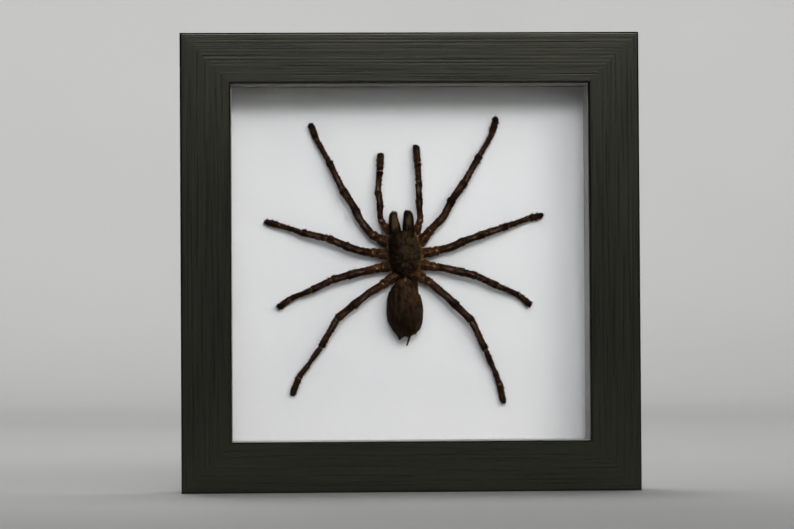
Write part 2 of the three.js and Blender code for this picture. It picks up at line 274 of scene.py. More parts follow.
class Graph:
    """Lays out the nodes of one material."""

    def __init__(self, name: str) -> None:
        """Starts a material that holds a single principled shader."""
        self.material = bpy.data.materials.new(name)
        self.material.use_nodes = True
        self.tree = self.material.node_tree
        self.shader = self.tree.nodes["Principled BSDF"]
        self.coordinates = self.add("ShaderNodeTexCoord").outputs["Object"]

    def add(
        self, kind: str, feeds: dict[str | int, object] | None = None, **settings: object
    ) -> bpy.types.Node:
        """Adds a node.

        Args:
            kind: The node's type.
            feeds: What each input, by its name or number, is linked or set to.
            settings: The node's own properties.

        Returns:
            The new node.
        """
        node = self.tree.nodes.new(kind)
        for key, value in settings.items():
            setattr(node, key, value)
        for key, value in (feeds or {}).items():
            self.feed(node.inputs[key], value)
        return node

    def feed(self, socket: bpy.types.NodeSocket, value: object) -> None:
        """Links a socket to another, or sets its plain value."""
        if isinstance(value, bpy.types.NodeSocket):
            self.tree.links.new(value, socket)
        elif isinstance(value, tuple) and len(value) == 3 and socket.type == "RGBA":
            socket.default_value = (*value, 1.0)
        else:
            socket.default_value = value

    def set(self, **values: object) -> None:
        """Sets inputs of the principled shader, with _ for a space in their names."""
        for key, value in values.items():
            self.feed(self.shader.inputs[key.replace("_", " ")], value)

    def number(self, name: str) -> bpy.types.NodeSocket:
        """Reads a number that the piece holds as an attribute."""
        return self.add("ShaderNodeAttribute", attribute_name=name).outputs["Fac"]

    def vector(self, name: str) -> bpy.types.NodeSocket:
        """Reads a vector that the piece holds as an attribute."""
        return self.add("ShaderNodeAttribute", attribute_name=name).outputs["Vector"]

    def depth(self) -> bpy.types.NodeSocket:
        """Reads how far back a place lies."""
        return self.add("ShaderNodeSeparateXYZ", {"Vector": self.coordinates}).outputs["Y"]

    def stretched(self, vector: bpy.types.NodeSocket, share: float) -> bpy.types.NodeSocket:
        """Scales a pattern's first coordinate, so that the pattern stretches along it."""
        feeds = {"Vector": vector, "Scale": (share, 1.0, 1.0)}
        return self.add("ShaderNodeMapping", feeds).outputs["Vector"]

    def noise(
        self, size: float, detail: float = 3.0, vector: bpy.types.NodeSocket | None = None,
        distortion: float = 0.0, crispness: float = 0.5,
    ) -> bpy.types.NodeSocket:
        """Adds a cloudy noise.

        Args:
            size: The rough size of its clouds.
            detail: How many finer noises it holds.
            vector: The coordinates that it reads, if not the object's.
            distortion: How much it is bent.
            crispness: How strong its finer noises are.

        Returns:
            The noise as a number from 0 to 1.
        """
        return self.add("ShaderNodeTexNoise", {
            "Vector": vector or self.coordinates, "Scale": 1.0 / size, "Detail": detail,
            "Roughness": crispness, "Distortion": distortion,
        }).outputs["Fac"]

    def between(
        self, value: bpy.types.NodeSocket, low: float, high: float,
        out_low: object = 0.0, out_high: object = 1.0,
    ) -> bpy.types.NodeSocket:
        """Maps a number from the range low to high onto another range, and keeps it inside."""
        return self.add("ShaderNodeMapRange", {
            "Value": value, "From Min": low, "From Max": high, "To Min": out_low,
            "To Max": out_high,
        }).outputs["Result"]

    def times(self, one: object, other: object) -> bpy.types.NodeSocket:
        """Multiplies two numbers."""
        return self.add("ShaderNodeMath", {0: one, 1: other}, operation="MULTIPLY").outputs[0]

    def blend(self, share: object, one: object, other: object) -> bpy.types.NodeSocket:
        """Mixes two colours: all of the first at share 0, and of the other at 1."""
        feeds = {0: share, 6: one, 7: other}
        return self.add("ShaderNodeMix", feeds, data_type="RGBA").outputs[2]

    def layers(self, ground: object, *coats: tuple[object, Colour]) -> bpy.types.NodeSocket:
        """Lays coats of colour over a ground, each given as its share and its colour."""
        for share, colour in coats:
            ground = self.blend(share, ground, colour)
        return ground

    def bump(
        self, height: bpy.types.NodeSocket, distance: float, strength: float = 1.0,
        over: bpy.types.NodeSocket | None = None,
    ) -> bpy.types.NodeSocket:
        """Turns a height into a normal, on top of another bump if one is given."""
        feeds = {"Height": height, "Distance": distance, "Strength": strength}
        if over is not None:
            feeds["Normal"] = over
        return self.add("ShaderNodeBump", feeds).outputs["Normal"]


@dataclass(frozen=True)
class GroovedBlackWood:
    """Black stained wood with combed grooves; its grain follows the rail's own attribute.

    Attributes:
        dull: Its roughness on the sides and back.
        dull_from: Where the polish of the front starts and stops to give way, as a depth.
    """

    stain: Colour = (0.0044, 0.0045, 0.0033)
    worn: Colour = (0.0095, 0.0092, 0.0068)
    sheen: Colour = (1.0, 1.0, 0.78)
    dull: float = 0.85
    dull_from: tuple[float, float] = (-0.0192, -0.0175)

    def material(self) -> bpy.types.Material:
        """Builds the wood's material, polished in front and dull on the sides and back."""
        wood = Graph("black_wood")
        grain = wood.vector("grain")
        streaks = wood.noise(0.0011, 4.0, wood.stretched(grain, 0.02))
        patches = wood.noise(0.03, 2.0, wood.stretched(grain, 0.25))
        worn = wood.times(
            wood.between(streaks, 0.42, 0.72), wood.between(patches, 0.3, 0.7, 0.35, 1.0),
        )
        pores = wood.noise(0.0005, 3.0, wood.stretched(grain, 0.05))
        polished = wood.between(streaks, 0.3, 0.7, 0.25, 0.33)
        wood.set(
            Base_Color=wood.blend(worn, self.stain, self.worn),
            Roughness=wood.between(wood.depth(), *self.dull_from, polished, self.dull),
            Specular_IOR_Level=0.60,
            Specular_Tint=self.sheen,
            Normal=wood.bump(pores, 0.00003, 0.5, wood.bump(streaks, 0.00004, 0.6)),
        )
        return wood.material


@dataclass(frozen=True)
class ClearGlass:
    """A thin clear pane that light and shadow rays pass."""

    tint: Colour = (0.985, 0.995, 0.99)

    def material(self) -> bpy.types.Material:
        """Builds the glass's material."""
        glass = Graph("clear_glass")
        glass.set(
            Base_Color=self.tint, Roughness=0.0, IOR=1.5, Transmission_Weight=1.0,
        )
        mix = glass.add("ShaderNodeMixShader", {
            0: glass.add("ShaderNodeLightPath").outputs["Is Shadow Ray"],
            1: glass.shader.outputs[0],
            2: glass.add("ShaderNodeBsdfTransparent").outputs[0],
        })
        output = glass.tree.nodes["Material Output"]
        glass.feed(output.inputs["Surface"], mix.outputs[0])
        return glass.material


@dataclass(frozen=True)
class Paper:
    """Matt white paper or card, with a faint tooth, fibres and slight stains.

    Attributes:
        painted_shade: How dark its band of painted shade along the edge at the card is, from 0 to
            1.
        rim: Where that painted shade starts and is full, as depths.
        painted_shade_colour: The colour of the painted shade.
    """

    name: str
    white: Colour
    stain: Colour
    tooth: float
    painted_shade: float = 0.0
    rim: tuple[float, float] = (0.0035, 0.0070)
    painted_shade_colour: Colour = (0.02, 0.018, 0.015)

    def material(self) -> bpy.types.Material:
        """Builds the paper's material."""
        paper = Graph(self.name)
        clouds = paper.noise(0.06, 3.0)
        flecks = paper.noise(0.0016, 4.0)
        fibres = paper.noise(0.0006, 5.0, distortion=1.2)
        coats = [
            (paper.between(clouds, 0.35, 0.75, 0.0, 0.6), self.stain),
            (paper.between(flecks, 0.62, 0.8, 0.0, 0.25), self.stain),
        ]
        # Painted shade: a broken dark band along the edge at the card stands for the shadow there.
        if self.painted_shade:
            broken = paper.between(paper.noise(0.022, 1.0), 0.38, 0.56, 0.15, self.painted_shade)
            coats.append((paper.times(paper.between(paper.depth(), *self.rim), broken), self.painted_shade_colour))
        paper.set(
            Base_Color=paper.layers(self.white, *coats),
            Roughness=paper.between(fibres, 0.3, 0.7, 0.78, 0.92),
            Specular_IOR_Level=0.25,
            Normal=paper.bump(fibres, self.tooth, 0.5, paper.bump(flecks, self.tooth, 0.5)),
        )
        return paper.material


@dataclass(frozen=True)
class Fibreboard:
    """Raw brown fibreboard with a matted surface."""

    dark: Colour = (0.16, 0.095, 0.052)
    light: Colour = (0.30, 0.195, 0.115)

    def material(self) -> bpy.types.Material:
        """Builds the board's material."""
        board = Graph("brown_board")
        matted = board.noise(0.0012, 6.0, distortion=1.5)
        clouds = board.noise(0.03, 3.0)
        board.set(
            Base_Color=board.layers(
                self.dark,
                (board.between(matted, 0.35, 0.68), self.light),
                (board.between(clouds, 0.4, 0.8, 0.0, 0.4), self.dark),
            ),
            Roughness=board.between(matted, 0.3, 0.7, 0.7, 0.9),
            Normal=board.bump(matted, 0.0001, 0.8),
        )
        return board.material


@dataclass(frozen=True)
class DulledMetal:
    """A thin pressed metal part, with rolling lines and tarnish."""

    name: str
    bright: Colour
    tarnish: Colour

    def material(self) -> bpy.types.Material:
        """Builds the metal's material."""
        metal = Graph(self.name)
        rolled = metal.noise(0.0006, 4.0, metal.stretched(metal.coordinates, 0.05))
        spots = metal.noise(0.004, 5.0)
        metal.set(
            Base_Color=metal.blend(metal.between(spots, 0.45, 0.75), self.bright, self.tarnish),
            Metallic=1.0,
            Roughness=metal.between(spots, 0.3, 0.75, 0.3, 0.55),
            Normal=metal.bump(rolled, 0.00003, 0.5),
        )
        return metal.material


@dataclass(frozen=True)
class DriedSkin:
    """The dried, leathery skin of a limb or a body.

    It reads the attributes pale, where bare membrane shows and, at the waist, a painted highlight;
    bald, where hair has rubbed off; dark, its own dark marks together with painted shade; and lie,
    the place on the unbent limb, so that streaks run along it.
    """

    name: str
    black: Colour
    brown: Colour
    tan: Colour = (0.078, 0.040, 0.021)
    cream: Colour = (0.42, 0.28, 0.17)
    russet: Colour = (0.080, 0.033, 0.0105)
    bare: Colour = (0.155, 0.100, 0.071)
    gloss: Colour = (1.0, 0.66, 0.46)
    spots: float = 0.8
    cloud: float = 0.0021
    streak: float = 0.0011
    stretch: float = 0.2

    def material(self) -> bpy.types.Material:
        """Builds the skin's material."""
        skin = Graph(self.name)
        streaks = skin.noise(self.streak, 2.0, skin.stretched(skin.vector("lie"), self.stretch))
        mottle = skin.noise(self.cloud, 2.0, distortion=0.8, crispness=0.45)
        patches = skin.noise(0.0012, 3.0)
        grain = skin.noise(0.0004, 4.0)
        warm = skin.times(skin.number("warm"), skin.between(patches, 0.43, 0.55, 0.08, 1.0))
        bald = skin.times(skin.number("bald"), skin.between(streaks, 0.46, 0.58))
        pale = skin.times(skin.number("pale"), skin.between(grain, 0.30, 0.62, 0.45, 1.0))
        skin.set(
            Base_Color=skin.layers(
                self.black,
                (skin.between(mottle, 0.45, 0.53), self.brown),
                (skin.between(streaks, 0.56, 0.64, 0.0, 0.9), self.tan),
                (warm, self.russet),
                (skin.between(mottle, 0.37, 0.44, self.spots, 0.0), self.black),
                # dark holds the skin's own dark marks and its painted shade in creases and on the
                # side away from the light.
                (skin.number("dark"), self.black),
                (bald, self.bare),
                # pale also holds the painted highlight at the waist.
                (pale, self.cream),
            ),
            Roughness=skin.between(grain, 0.3, 0.7, 0.36, 0.55),
            Specular_IOR_Level=0.10,
            Specular_Tint=self.gloss,
            Normal=skin.bump(grain, 0.00005, 0.7, skin.bump(streaks, 0.00012, 0.6)),
        )
        return skin.material


@dataclass(frozen=True)
class Setae:
    """Hair, dark at the root and paler at the tip, with each hair its own tone."""

    name: str
    root: Colour
    tip: Colour
    golden: Colour
    gloss: Colour = (1.0, 0.60, 0.36)

    def material(self) -> bpy.types.Material:
        """Builds the hair's material."""
        hair = Graph(self.name)
        mottle = hair.noise(0.0021, 2.0, distortion=0.8, crispness=0.45)
        hair.set(
            Base_Color=hair.layers(
                self.root,
                (hair.number("reach"), self.tip),
                (hair.between(mottle, 0.44, 0.53, 0.95, 0.0), self.root),
                (hair.between(hair.number("tone"), 0.6, 1.0, 0.0, 0.7), self.golden),
                (hair.times(hair.number("warm"), 0.35), self.golden),
                # dark, copied from the skin, carries the skin's painted shade too.
                (hair.number("dark"), self.root),
            ),
            Roughness=hair.between(mottle, 0.3, 0.7, 0.42, 0.6),
            Specular_IOR_Level=0.07,
            Specular_Tint=self.gloss,
        )
        return hair.material


@dataclass(frozen=True)
class GlossyBead:
    """A hard dark glossy surface, such as an eye or a fang."""

    name: str
    dark: Colour
    light: Colour

    def material(self) -> bpy.types.Material:
        """Builds the glossy material."""
        bead = Graph(self.name)
        clouds = bead.noise(0.0006, 3.0)
        bead.set(
            Base_Color=bead.blend(bead.between(clouds, 0.4, 0.7), self.dark, self.light),
            Roughness=bead.between(clouds, 0.3, 0.7, 0.12, 0.22),
        )
        return bead.material


@dataclass(frozen=True)
class DriedGlue:
    """A dab of dried amber glue."""

    def material(self) -> bpy.types.Material:
        """Builds the glue's material."""
        glue = Graph("dried_glue")
        clouds = glue.noise(0.002, 3.0)
        glue.set(
            Base_Color=glue.blend(clouds, (0.45, 0.34, 0.18), (0.62, 0.52, 0.34)),
            Roughness=glue.between(clouds, 0.3, 0.7, 0.25, 0.4),
            Normal=glue.bump(clouds, 0.0002, 0.6),
        )
        return glue.material


# --------------------------------------------------------------------------- the studio


@dataclass
class Studio:
    """The camera, the lights and the pale floor.

    Attributes:
        lens: The camera's focal length in millimetres.
        camera_place: Where the camera stands.
        turn: Its turn about the upright axis, from facing +Y.
        tilt: How far it looks up.
        roll: How far it is rolled.
        room: How bright the light from all around is.
        floor_size: How wide and long the floor is.
        floor_middle: Where its middle lies in depth.
        wall: How high the wall behind and the one in front are.
        bow: How widely the floor bows up into them.
        dark_to_pale: Between which depths the floor goes from dark to pale.
    """

    lens: float = 150.49
    camera_place: Place = (-0.0797, -1.820, 0.0785)
    turn: float = math.radians(-2.2934)
    tilt: float = math.radians(1.4326)
    roll: float = math.radians(-0.3494)
    room: float = 0.022
    floor_size: float = 12.0
    floor_middle: float = -1.8
    wall: float = 5.0
    bow: float = 1.4
    dark_to_pale: tuple[float, float] = (-5.0, -1.9)

    def camera(self) -> None:
        """Makes the camera and gives it to the scene."""
        data = bpy.data.cameras.new("camera")
        data.lens = self.lens
        data.clip_end = 50.0
        camera = bpy.data.objects.new("camera", data)
        camera.location = self.camera_place
        camera.rotation_mode = "QUATERNION"
        camera.rotation_quaternion = (
            Quaternion((0, 0, 1), self.turn)
            @ Quaternion((1, 0, 0), math.pi / 2 + self.tilt)
            @ Quaternion((0, 0, 1), self.roll)
        )
        bpy.context.scene.collection.objects.link(camera)
        bpy.context.scene.camera = camera

    def lamp(
        self, name: str, azimuth: float, elevation: float, distance: float,
        size: tuple[float, float], watts: float, spread: float = 180.0,
        middle: Place = (0.0, 0.0, 0.125), colour: Colour = (1.0, 1.0, 1.0),
        mirrored: bool = True,
    ) -> None:
        """Adds a soft box that the camera doesn't see.

        Args:
            name: The lamp's name.
            azimuth: Degrees from the front of the frame towards +X.
            elevation: Degrees above the horizon.
            distance: How far it stands from what it lights.
            size: Its width and height.
            watts: Its power.
            spread: How wide its beam is, in degrees.
            middle: The place that it faces.
            colour: The colour of its light.
            mirrored: Whether glossy surfaces mirror it.
        """
        data = bpy.data.lights.new(name, "AREA")
        data.shape = "RECTANGLE"
        data.size, data.size_y = size
        data.energy = watts
        data.spread = math.radians(spread)
        data.color = colour
        lamp = bpy.data.objects.new(name, data)
        side, up = math.radians(azimuth), math.radians(elevation)
        away = Vector((
            math.sin(side) * math.cos(up), -math.cos(side) * math.cos(up), math.sin(up),
        ))
        lamp.location = Vector(middle) + away * distance
        lamp.rotation_euler = away.to_track_quat("Z", "Y").to_euler()
        lamp.visible_camera = False
        lamp.visible_glossy = mirrored
        bpy.context.scene.collection.objects.link(lamp)

    def light(self) -> None:
        """Sets up the lights."""
        self.lamp("key", 3.0, 25.0, 2.6, (0.9, 0.62), 1.11, 36.0, colour=(0.985, 1.0, 1.03))
        self.lamp("side_fill", 34.0, 25.0, 2.4, (1.1, 0.6), 0.97, 44.0, colour=(1.0, 0.965, 0.92))
        self.lamp("ceiling", 180.0, 84.0, 2.6, (3.4, 1.2), 15.0, 70.0, middle=(0.0, 0.7, 0.0),
                  mirrored=False)
        self.lamp("back_fill", 195.0, 35.0, 3.0, (1.6, 1.2), 1.5, 50.0)
        self.lamp("wall_wash", 0.0, 41.0, 4.0, (5.0, 1.5), 82.0, 90.0, middle=(0.0, 3.75, 0.75),
                  mirrored=False)
        world = bpy.data.worlds.new("room")
        world.use_nodes = True
        background = world.node_tree.nodes["Background"]
        background.inputs["Color"].default_value = (1.0, 1.0, 1.0, 1.0)
        background.inputs["Strength"].default_value = self.room
        bpy.context.scene.world = world
        bpy.context.scene.view_settings.view_transform = "Standard"

    def floor(self) -> None:
        """Makes a pale floor that sweeps up into a wall behind, and into a dark one in front."""
        sweep = start(
            "floor", bpy.ops.mesh.primitive_plane_add, size=self.floor_size,
            location=(0.0, self.floor_middle, 0.0),
        )
        with editing(sweep):
            choose(sweep, Element.EDGES, lambda edge: edge.verts[0].co.y == edge.verts[1].co.y)
            pull(0.0, 0.0, self.wall)
            choose(sweep, Element.EDGES, lambda edge: (
                edge.verts[0].co.y == edge.verts[1].co.y and edge.verts[0].co.z < 0.01
            ))
            bpy.ops.mesh.bevel(offset=self.bow, segments=24, affect="EDGES")
        smooth(sweep, 60.0)
        graph = Graph("floor")
        clouds = graph.noise(0.5, 2.0)
        pale = graph.blend(clouds, (0.42, 0.42, 0.415), (0.46, 0.46, 0.455))
        graph.set(
            Base_Color=graph.blend(
                graph.between(graph.depth(), *self.dark_to_pale), (0.010, 0.010, 0.010), pale,
            ),
            Roughness=graph.between(clouds, 0.2, 0.8, 0.75, 0.85),
        )
        dress(sweep, graph.material)


# --------------------------------------------------------------------------- the frame


@dataclass
class GroovedFrame:
    """Four mitred rails cut from one moulding with combed grooves."""

    size: float = 0.25
    lip_depth: float = 0.004
    lip_cover: float = 0.003
    outer_round: float = 0.0013
    lip_bevel: float = 0.0008
    lengths: int = 24
    front_cuts: tuple[int, int] = (48, 4)
    deep_grooves: tuple[float, ...] = mm(
        1.9, 4.3, 5.9, 6.6, 9.0, 11.2, 12.8, 13.4, 15.3, 17.0, 19.2, 21.7, 23.3, 25.6
    )
    deep: float = 0.000017
    deep_width: float = 0.00030
    fine_grooves: int = 44
    fine: float = 0.000008
    seed: int = 11
    low: Vector = field(default_factory=lambda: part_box("frame_rail_bottom")[0])
    high: Vector = field(default_factory=lambda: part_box("frame_rail_bottom")[1])

    def depth_of_grooves(self, width: float) -> Callable[[float], float]:
        """Draws the fine grooves and gives the depth of all of them.

        Args:
            width: How wide the grooved front is.

        Returns:
            A function from the distance to the outer edge to the depth below the front.
        """
        draw = random.Random(self.seed)
        grooves = [
            (place, self.deep * draw.uniform(0.7, 1.2), self.deep_width * draw.uniform(0.7, 1.3))
            for place in self.deep_grooves
        ]
        grooves += [
            (draw.uniform(0.001, width - 0.0006), self.fine * draw.uniform(0.4, 1.3),
             self.deep_width * draw.uniform(0.4, 0.9))
            for _ in range(self.fine_grooves)
        ]

        def depth(place: float) -> float:
            """Adds up what every groove takes away here."""
            return max(
                deep * max(0.0, 1.0 - abs(place - middle) / wide)
                for middle, deep, wide in grooves
            )

        return depth

    def rail(self) -> bpy.types.Object:
        """Models the bottom rail from its section."""
        front, inner = self.low.y, self.high.z
        rebate = inner - self.lip_cover
        half = self.size / 2
        piece = start(
            "frame_rail_bottom_wood", bpy.ops.mesh.primitive_plane_add, size=1.0,
            rotation=(0.0, math.pi / 2, 0.0),
        )
        with editing(piece):
            choose_all()
            bpy.ops.transform.resize(value=(1.0, self.lip_depth, rebate))
            bpy.ops.transform.translate(value=(-half, front + self.lip_depth / 2, rebate / 2))
            back_of_lip = front + self.lip_depth - CLOSE
            choose(piece, Element.EDGES, lambda e: all(v.co.y > back_of_lip for v in e.verts))
            pull(0.0, self.high.y - front - self.lip_depth, 0.0)
            choose(piece, Element.EDGES, lambda e: all(
                v.co.z > rebate - CLOSE and v.co.y < front + self.lip_depth + CLOSE for v in e.verts
            ))
            pull(0.0, 0.0, self.lip_cover)
            self.comb(piece, front, inner)
            choose_all()
            pull(self.size, 0.0, 0.0)
            choose(piece, Element.EDGES, lambda e: abs(e.verts[0].co.x - e.verts[1].co.x) > half)
            bpy.ops.mesh.subdivide(number_cuts=self.lengths - 1)
            for side in (-1.0, 1.0):
                choose_all()
                bpy.ops.mesh.bisect(
                    plane_co=(side * half, 0.0, 0.0), plane_no=(side, 0.0, 1.0),
                    clear_outer=True, use_fill=True,
                )
        close_up(piece)
        note(piece, "grain", places(piece))
        smooth(piece, 50.0)
        return piece

    def comb(self, piece: bpy.types.Object, front: float, inner: float) -> None:
        """Cuts the grooves into the front edge of the section, which is open in edit mode."""
        for cuts in self.front_cuts:
            choose(piece, Element.EDGES, lambda e: all(v.co.y < front + CLOSE for v in e.verts))
            bpy.ops.mesh.subdivide(number_cuts=cuts)
        depth = self.depth_of_grooves(inner)
        mesh = bmesh.from_edit_mesh(piece.data)
        for vertex in (v for v in mesh.verts if v.co.y <= front + CLOSE):
            place = vertex.co.z
            short = max(0.0, self.outer_round - place)
            drop = self.outer_round - math.sqrt(max(0.0, self.outer_round**2 - short**2))
            vertex.co.y = front + depth(place) + drop + max(0.0, place - inner + self.lip_bevel)
        bmesh.update_edit_mesh(piece.data)

    def build(self, wood: bpy.types.Material) -> None:
        """Makes the four rails."""
        first = self.rail()
        middle = Matrix.Translation((0.0, 0.0, self.size / 2))
        rails = [copy_of(first, f"frame_rail_{side}_wood") for side in ("left", "top", "right")]
        for turns, rail in enumerate([first, *rails]):
            turn = Matrix.Rotation(turns * math.pi / 2, 4, "Y")
            rail.data.transform(middle @ turn @ middle.inverted())
            hand_in(rail, wood, "black_wood", rail.name.removesuffix("_wood"))


# --------------------------------------------------------------------------- the case


@dataclass
class Case:
    """What the frame holds: glass, papered spacers, card, back board and its fittings."""

    ragged: float = 0.00045
    cuts: int = 90
    middle: float = 0.125
    short: float = 0.01
    seed: int = 5

    def slab(self, node: str, name: str, edge: float) -> bpy.types.Object:
        """Models a box-shaped piece with softened edges, as large as its CAD node."""
        piece = block(node, name)
        with editing(piece):
            choose_all()
            bpy.ops.mesh.bevel(offset=edge, segments=2, affect="EDGES")
        smooth(piece)
        return piece

    def spacer(self, side: str, along: int, paper: bpy.types.Material) -> None:
        """Models a papered strip whose edge at the card is torn a little.

        Args:
            side: Which side of the frame it stands on.
            along: The axis that it runs along, 0 or 2.
            paper: Its material.
        """
        node = f"spacer_{side}"
        low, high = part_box(node)
        piece = block(node, f"{node}_papered")
        with editing(piece):
            choose(piece, Element.EDGES, lambda e: (
                abs(e.verts[0].co[along] - e.verts[1].co[along]) > self.short
            ))
            bpy.ops.mesh.subdivide(number_cuts=self.cuts)
        draw = random.Random(self.seed + len(side))
        knots = [draw.random() ** 2 for _ in range(self.cuts + 2)]
        rows = places(piece)
        share = (rows[:, along] - low[along]) / (high[along] - low[along])
        torn = np.interp(share, np.linspace(0, 1, len(knots)), knots) * self.ragged
        across = 2 - along
        middle_way = (low[across] + high[across]) / 2
        outward = middle_way - (self.middle if across == 2 else 0.0)
        inward = (rows[:, across] - middle_way) * outward < 0.0
        at_card = rows[:, 1] > high.y - CLOSE
        rows[at_card & inward, 1] -= torn[at_card & inward]
        put(piece, rows)
        smooth(piece)
        hand_in(piece, paper, "white_lining", node)

    def refined(self, node: str, name: str, edge: float) -> bpy.types.Object:
        """Copies a small CAD piece, merged, with its sharp edges softened."""
        piece = copy_of(bpy.data.objects[node], name)
        piece.data.materials.clear()
        with editing(piece):
            choose_all()
            bpy.ops.mesh.remove_doubles(threshold=DOUBLES)
            bpy.ops.mesh.dissolve_limited(angle_limit=math.radians(1.0))
        modify(
            piece, "BEVEL", width=edge, segments=2, limit_method="ANGLE",
            angle_limit=math.radians(40.0),
        )
        smooth(piece)
        return piece

    def build(self) -> None:
        """Makes every piece of the case."""
        dress(bpy.data.objects["glass_pane"], ClearGlass().material())
        lining = Paper("white_lining", (0.40, 0.39, 0.375), (0.33, 0.32, 0.30), 0.00004).material()
        # The top strip gets a darker copy of the lining: painted shade for its underside, which the
        # lamps hardly reach, with a broken band of painted shadow at the card.
        shade_painted = Paper(
            "shade_painted_lining", (0.29, 0.27, 0.24), (0.25, 0.23, 0.20), 0.00004, painted_shade=0.97,
        ).material()
        for side, along in (("top", 0), ("bottom", 0), ("left", 2), ("right", 2)):
            self.spacer(side, along, shade_painted if side == "top" else lining)
        card = Paper("white_card", (0.80, 0.797, 0.802), (0.775, 0.765, 0.785), 0.00003).material()
        board = Fibreboard().material()
        for node, ending, edge, finish, slot in (
            ("mount_card", "sheet", 0.0002, card, "white_card"),
            ("back_board", "panel", 0.0004, board, "brown_board"),
        ):
            hand_in(self.slab(node, f"{node}_{ending}", edge), finish, slot, node)
        steel = DulledMetal("spring_steel", (0.50, 0.50, 0.49), (0.28, 0.26, 0.24)).material()
        brass = DulledMetal("brass_plate", (0.72, 0.53, 0.27), (0.36, 0.27, 0.16)).material()
        tabs = [f"tab_{side}_{n}" for side in ("bottom", "left", "top", "right") for n in (1, 2)]
        hanger = ["hanger", "hanger_nail_1", "hanger_nail_2"]
        for nodes, finish, slot, ending, edge in (
            (tabs, steel, "spring_steel", "steel", 0.00012),
            (hanger, brass, "brass_plate", "brass", 0.0001),
            (["glue_dab"], DriedGlue().material(), "dried_glue", "dried", 0.0002),
        ):
            for node in nodes:
                hand_in(self.refined(node, f"{node}_{ending}", edge), finish, slot, node)


# --------------------------------------------------------------------------- the spider


def smooth_rows(stations: Sequence[Sequence[float]], at: np.ndarray) -> np.ndarray:
    """Reads rows of numbers smoothly between stations.

    Args:
        stations: Rows that each start with their place, in rising order.
        at: The places to read.

    Returns:
        One row for each place, without the place itself.
    """
    rows = np.array(stations, float)
    keys, values = rows[:, 0], rows[:, 1:]
    slopes = np.gradient(values, keys, axis=0)
    spot = np.clip(np.searchsorted(keys, at) - 1, 0, len(keys) - 2)
    gap = (keys[spot + 1] - keys[spot])[:, None]
    share = np.clip((at - keys[spot])[:, None] / gap, 0.0, 1.0)
    one, other = values[spot], values[spot + 1]
    rise = 3 * share**2 - 2 * share**3
    leaving = gap * share * (1 - share) ** 2 * slopes[spot]
    arriving = gap * share**2 * (1 - share) * slopes[spot + 1]
    return one * (1 - rise) + other * rise + leaving - arriving


def hump(distance: np.ndarray | float, width: float) -> np.ndarray:
    """Gives 1 at distance 0, and falls off softly over the given width."""
    return np.exp(-((distance / width) ** 2))


def oval(
    x: np.ndarray, y: np.ndarray, middle: tuple[float, float], size: tuple[float, float]
) -> np.ndarray:
    """Gives 1 in the middle of an oval patch, and falls off softly by its half sizes."""
    return hump(np.hypot((x - middle[0]) / size[0], (y - middle[1]) / size[1]), 1.0)


def unit(rows: np.ndarray) -> np.ndarray:
    """Brings every row to length 1, except for rows of zeros."""
    return rows / (np.linalg.norm(rows, axis=1, keepdims=True) + 1e-12)


def stand_up(piece: bpy.types.Object) -> None:
    """Takes a piece from the bench and stands it against the mount card."""
    card_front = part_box("mount_card")[0].y
    pick(piece)
    piece.rotation_euler = (math.pi / 2, 0.0, 0.0)
    piece.location = (0.0, card_front, 0.0)
    bpy.ops.object.transform_apply(location=True, rotation=True, scale=True)


def mark(piece: bpy.types.Object, **fields: np.ndarray) -> None:
    """Notes how a skin looks and how hair grows on it.

    Args:
        piece: The skin.
        fields: Values for each vertex: lie (a vector that hair follows as its first number
            rises), pale, bald, warm, dark, fur, shag and bristle. What is left out is 0, and
            shag is 1.
    """
    count = len(piece.data.vertices)
    plain = {name: np.zeros(count) for name in ("pale", "bald", "warm", "dark", "fur", "bristle")}
    plain["shag"] = np.ones(count)
    for name, values in {**plain, **fields}.items():
        note(piece, name, values if name == "lie" else np.clip(values, 0.0, None))


